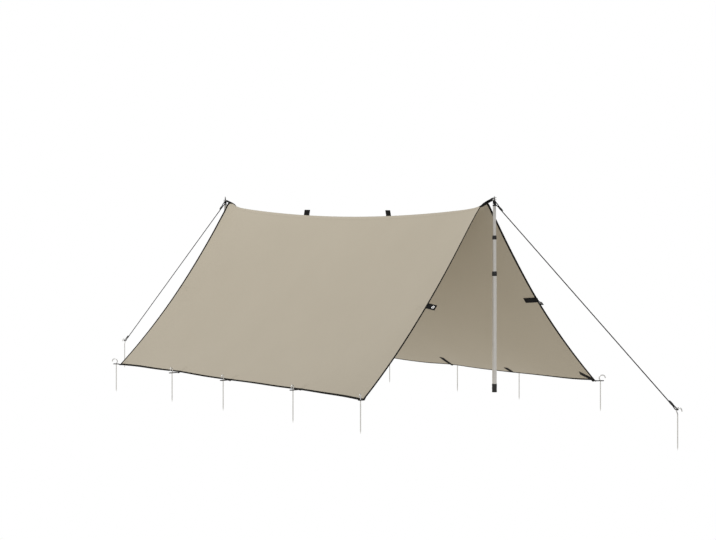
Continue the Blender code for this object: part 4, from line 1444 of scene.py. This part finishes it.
def guy_route(end):
    """Points along one cord: the loop round the head, the line, the loop in the hook and a short tail."""
    top, foot, along, length = guy_frame(end)
    low = length - LOWER_SLIDER_FROM_PEG
    round_head = SPIKE_RADIUS + GUY_RADIUS + HEAD_GAP
    round_peg = PEG_RADIUS + GUY_RADIUS + PEG_GAP

    def strand(s, aside):
        return top + along * s + Vector((0, end * aside, 0))

    def level(origin, ahead, aside, lift=0.0):
        return origin + Vector((end * ahead, end * aside, lift))

    points = [strand(UPPER_SLIDER_AT + s, STRAND) for s in (0.020, 0.008, -0.008, -0.022)]
    points += [strand(LOOP_OPENS, LOOP_ASIDE), level(top, 0.006, round_head * 0.97, -0.003)]
    points += [level(top, -round_head * math.sin(a), round_head * math.cos(a)) for a in TURN_ANGLES]
    points += [level(top, 0.006, -round_head * 0.97, -0.003), strand(LOOP_OPENS, -LOOP_ASIDE)]
    points += [strand(UPPER_SLIDER_AT + s, -STRAND) for s in IN_SLIDER]
    points += [strand(length * k / 8, -STRAND) for k in range(1, 8)]
    points += [strand(low + s, -STRAND) for s in IN_SLIDER]
    points += [level(foot, -0.012, -round_peg, 0.008), level(foot, -0.004, -round_peg, 0.002)]
    points += [level(foot, round_peg * math.sin(a), -round_peg * math.cos(a)) for a in TURN_ANGLES]
    points += [level(foot, -0.004, round_peg, 0.002), level(foot, -0.012, round_peg, 0.008)]
    points += [strand(low + s, STRAND) for s in (0.022, 0.008, -0.008, -0.018)]
    points += [strand(low - 0.024, STRAND + 0.001) - Vector((0, 0, 0.004))]
    points += [strand(low - 0.028, STRAND + 0.003) - Vector((0, 0, 0.013))]
    return points


def make_head_knot(label, end):
    """The cord's turns round the neck, between the plug and the lower layer of the strap."""
    x = MIDDLE_X + end * POLE_AT
    radius = SPIKE_RADIUS + GUY_RADIUS + GUY_GAP
    low = PLUG_TOP + GUY_RADIUS + GUY_GAP
    turns = HEAD_TURNS[end]
    steps = 16 * turns
    path = []
    for k in range(steps + 1):
        angle = 2 * math.pi * turns * k / steps
        height = low + 2 * GUY_RADIUS * (turns - 1) * k / steps
        path.append(Vector((x + radius * math.cos(angle), radius * math.sin(angle), height)))
    return swept(f"{label}_head_turns", cord_rings(path, GUY_RADIUS, 10), guy_finish, "guy_cord", [])


def make_guy_line(label, end):
    path = catmull(guy_route(end), 4)
    length = sum((b - a).length for a, b in zip(path, path[1:]))
    print(label, "guy line", round(length, 3), "m of cord")
    rings = cord_rings(path, GUY_RADIUS, 12)
    return swept(f"{label}_guy", rings, guy_finish, "guy_cord", [f"{label}_guy_line"])


def make_slider(name, end, at, node):
    """A flat tensioner: rounded in plan, waisted in the middle, with finger ridges across its faces."""
    top, _, along, _ = guy_frame(end)
    upward = face_up(along)
    rings = []
    for k in range(SLIDER_STEPS + 1):
        t = 2 * k / SLIDER_STEPS - 1
        centre = top + along * (at + t * SLIDER_LENGTH / 2)
        round_off = math.sqrt(max(0.0, 1 - max(0.0, (abs(t) - 0.7) / 0.3) ** 2))
        wide = SLIDER_HALF * (0.88 + 0.12 * t * t) * (0.45 + 0.55 * round_off)
        deep = SLIDER_THICK * (0.5 + 0.5 * round_off) * (1.0 + 0.10 * math.cos(t * 16) * (abs(t) < 0.62))
        ring = []
        for cos, sin in circle(SLIDER_SIDES):
            aside = math.copysign(abs(cos) ** SLIDER_SQUARE, cos)
            raised = math.copysign(abs(sin) ** SLIDER_SQUARE, sin)
            ring.append(centre + Vector((0, 1, 0)) * (wide * aside) + upward * (deep * raised))
        rings.append(ring)
    return swept(name, rings, plastic_finish, "black_plastic", [node])


guys = []
for label, end in ENDS:
    guys.append(make_guy_line(label, end))
    guys.append(make_head_knot(label, end))
    _, foot, _, length = guy_frame(end)
    low_at = length - LOWER_SLIDER_FROM_PEG
    for place, word, at in (("top", "upper", UPPER_SLIDER_AT), ("low", "lower", low_at)):
        guys.append(make_slider(f"{label}_{place}_slider", end, at, f"{label}_{word}_slider"))
    spot = Vector((foot.x + end * GUY_HOOK_BACK, 0))
    guys.append(make_peg(f"{label}_guy_hook", spot, Vector((end, 0)), [f"{label}_guy_peg"]))
print("guy pieces:", [p.name for p in guys])

# %% [markdown]
# ## Stitching on the webbing
#
# Straps that carry load are sewn in a box with a cross in it. The needle goes right through the canvas, so
# the same pattern shows faintly on its outer face. The lines run through the stitch tree again.


# %% Webbing stitches
BOX_START = 0.006
STRIP_BOX = 0.042
TAB_BOX = (0.088, 0.0145)
RIDGE_BOX = (0.034, 0.017)
STRIP_BOX_IN = 0.016
TAB_BOX_IN = 0.017
TAB_BOX_SQUEEZE = 0.62
RIDGE_BOX_IN = 0.002
BOX_STEPS = 8
BOX_PITCH = 0.0042
ON_CANVAS = 0.0001
ON_STRIP = TAPE_BACK - WEB_THICK - 0.0014
ON_TAB = TAPE_BACK - WEB_THICK - 0.0006


def box_and_cross(place, length, half):
    """Lines of a sewn box with its two diagonals; place gives the point for a length and an offset."""
    a, b, c, d = (BOX_START, -half), (BOX_START, half), (length, half), (length, -half)
    lines = []
    for start, stop in ((a, b), (b, c), (c, d), (d, a), (a, c), (b, d)):
        spots = [Vector(start).lerp(Vector(stop), k / BOX_STEPS) for k in range(BOX_STEPS + 1)]
        lines.append([place(*spot) for spot in spots])
    return lines


def on_strip(edge, lay, side, lift):
    def place(along, aside):
        spot = edge - lay * (STRIP_BOX_IN + along) + Vector((-lay.y, lay.x)) * aside
        return on_cloth(spot.x, abs(spot.y), side, lift)

    return place


def on_tab(facts, side, end, lift):
    def place(along, aside):
        back = TAB_BOX_IN + along
        y = facts["at"] + facts["climb"] * back + aside * TAB_BOX_SQUEEZE
        return on_cloth(end * (HALF_LENGTH - back), y, side, lift)

    return place


def on_ridge_end(end):
    def place(along, aside):
        return across_ridge(end * (HALF_LENGTH - RIDGE_BOX_IN - along), aside, ON_CANVAS)

    return place


web_lines = []
cloth_lines = []
for label, side in SIDES:
    for number, edge, out, _ in peg_places(side):
        lay = STRIP_LAYS.get((side, number), out)
        for lift, lines in ((ON_STRIP, web_lines), (ON_CANVAS, cloth_lines)):
            lines += box_and_cross(on_strip(edge, lay, side, lift), STRIP_BOX, strip_half(number) - 0.006)
    for place, end in ENDS:
        for lift, lines in ((ON_TAB, web_lines), (ON_CANVAS, cloth_lines)):
            lines += box_and_cross(on_tab(TABS[(label, place)], side, end, lift), *TAB_BOX)
for end in (1, -1):
    cloth_lines += box_and_cross(on_ridge_end(end), *RIDGE_BOX)
web_settings = {"Pitch": BOX_PITCH, "Stitch_length": 0.0032}
seams.append(sew("webbing_stitches", web_lines, dark_thread, "black_webbing", **web_settings))
seams.append(sew("show_through_stitches", cloth_lines, canvas_thread, "cotton_cloth", Pitch=BOX_PITCH))

# %% [markdown]
# ## The pieces that go with the canopy
#
# The whole canopy is one sheet of canvas held stretched between its straps and pegs. Its size is the size it
# was cut and sewn to. The taut lines and short loops belong to the structure and do not hang free. The tape,
# seams, tabs and strips that go with the canopy are gathered in one list.

with_canopy = [*tapes, *seams, *ridge_loops, *gable_tabs, *strips]
[loop.name for loop in loops]

# %% [markdown]
# ## Floor and light
#
# The photograph is a studio cut-out on white. The pegs are shown whole, so the floor lies just below their
# points. The floor and the sky look plain white to the camera, and light the cloth softly: the sky more than
# the floor, so that the inside of the tarp is darker towards the ridge. One large lamp above the near side
# gives the near slope its even tone.

# %% Floor and light
FLOOR_Z = -0.2
SKY_LIGHT = 0.40
FLOOR_LIGHT = 0.72
WARM = (1.0, 0.975, 0.925, 1)
WHITE = (1.0, 1.0, 1.0, 1)
LAMP_WATTS = 315
LAMP_AT = (-2.8, -3.2, 7.0)
LAMP_AIM = Vector((-1.6, 0, 0.5))
scene = bpy.context.scene
scene.view_settings.view_transform = "Standard"


def glow(tree, kind, output, colour, strength):
    """Plain white to the camera, and light of a colour and strength for everything else."""
    seen = tree.node("ShaderNodeLightPath", out="Is Camera Ray")
    low = tree.node(kind, {"Color": colour, "Strength": strength})
    high = tree.node(kind, {"Color": WHITE, "Strength": 1.0})
    mix = tree.node("ShaderNodeMixShader", {0: seen, 1: low, 2: high})
    tree.tree.links.new(mix.socket, tree.tree.nodes[output].inputs["Surface"])


def make_floor(far):
    data = bpy.data.meshes.new("floor")
    corners = [(-far, -far, FLOOR_Z), (far, -far, FLOOR_Z), (far, far, FLOOR_Z), (-far, far, FLOOR_Z)]
    data.from_pydata(corners, [], [(0, 1, 2, 3)])
    floor = bpy.data.objects.new("floor", data)
    scene.collection.objects.link(floor)
    finish = Finish("floor_pale", 1.0)
    glow(finish, "ShaderNodeEmission", "Material Output", WARM, FLOOR_LIGHT)
    data.materials.append(finish.material)


make_floor(60)
world = bpy.data.worlds.new("sky")
scene.world = world
world.use_nodes = True
glow(Tree(world.node_tree), "ShaderNodeBackground", "World Output", WHITE, SKY_LIGHT)
lamp = bpy.data.objects.new("overhead_lamp", bpy.data.lights.new("overhead_lamp", "AREA"))
scene.collection.objects.link(lamp)
lamp.data.energy = LAMP_WATTS
lamp.data.size = 5
lamp.location = LAMP_AT
lamp.rotation_euler = (LAMP_AIM - lamp.location).to_track_quat("-Z", "Y").to_euler()
print("lamp", LAMP_WATTS, "W")

# %% The end
bpy.context.view_layer.update()
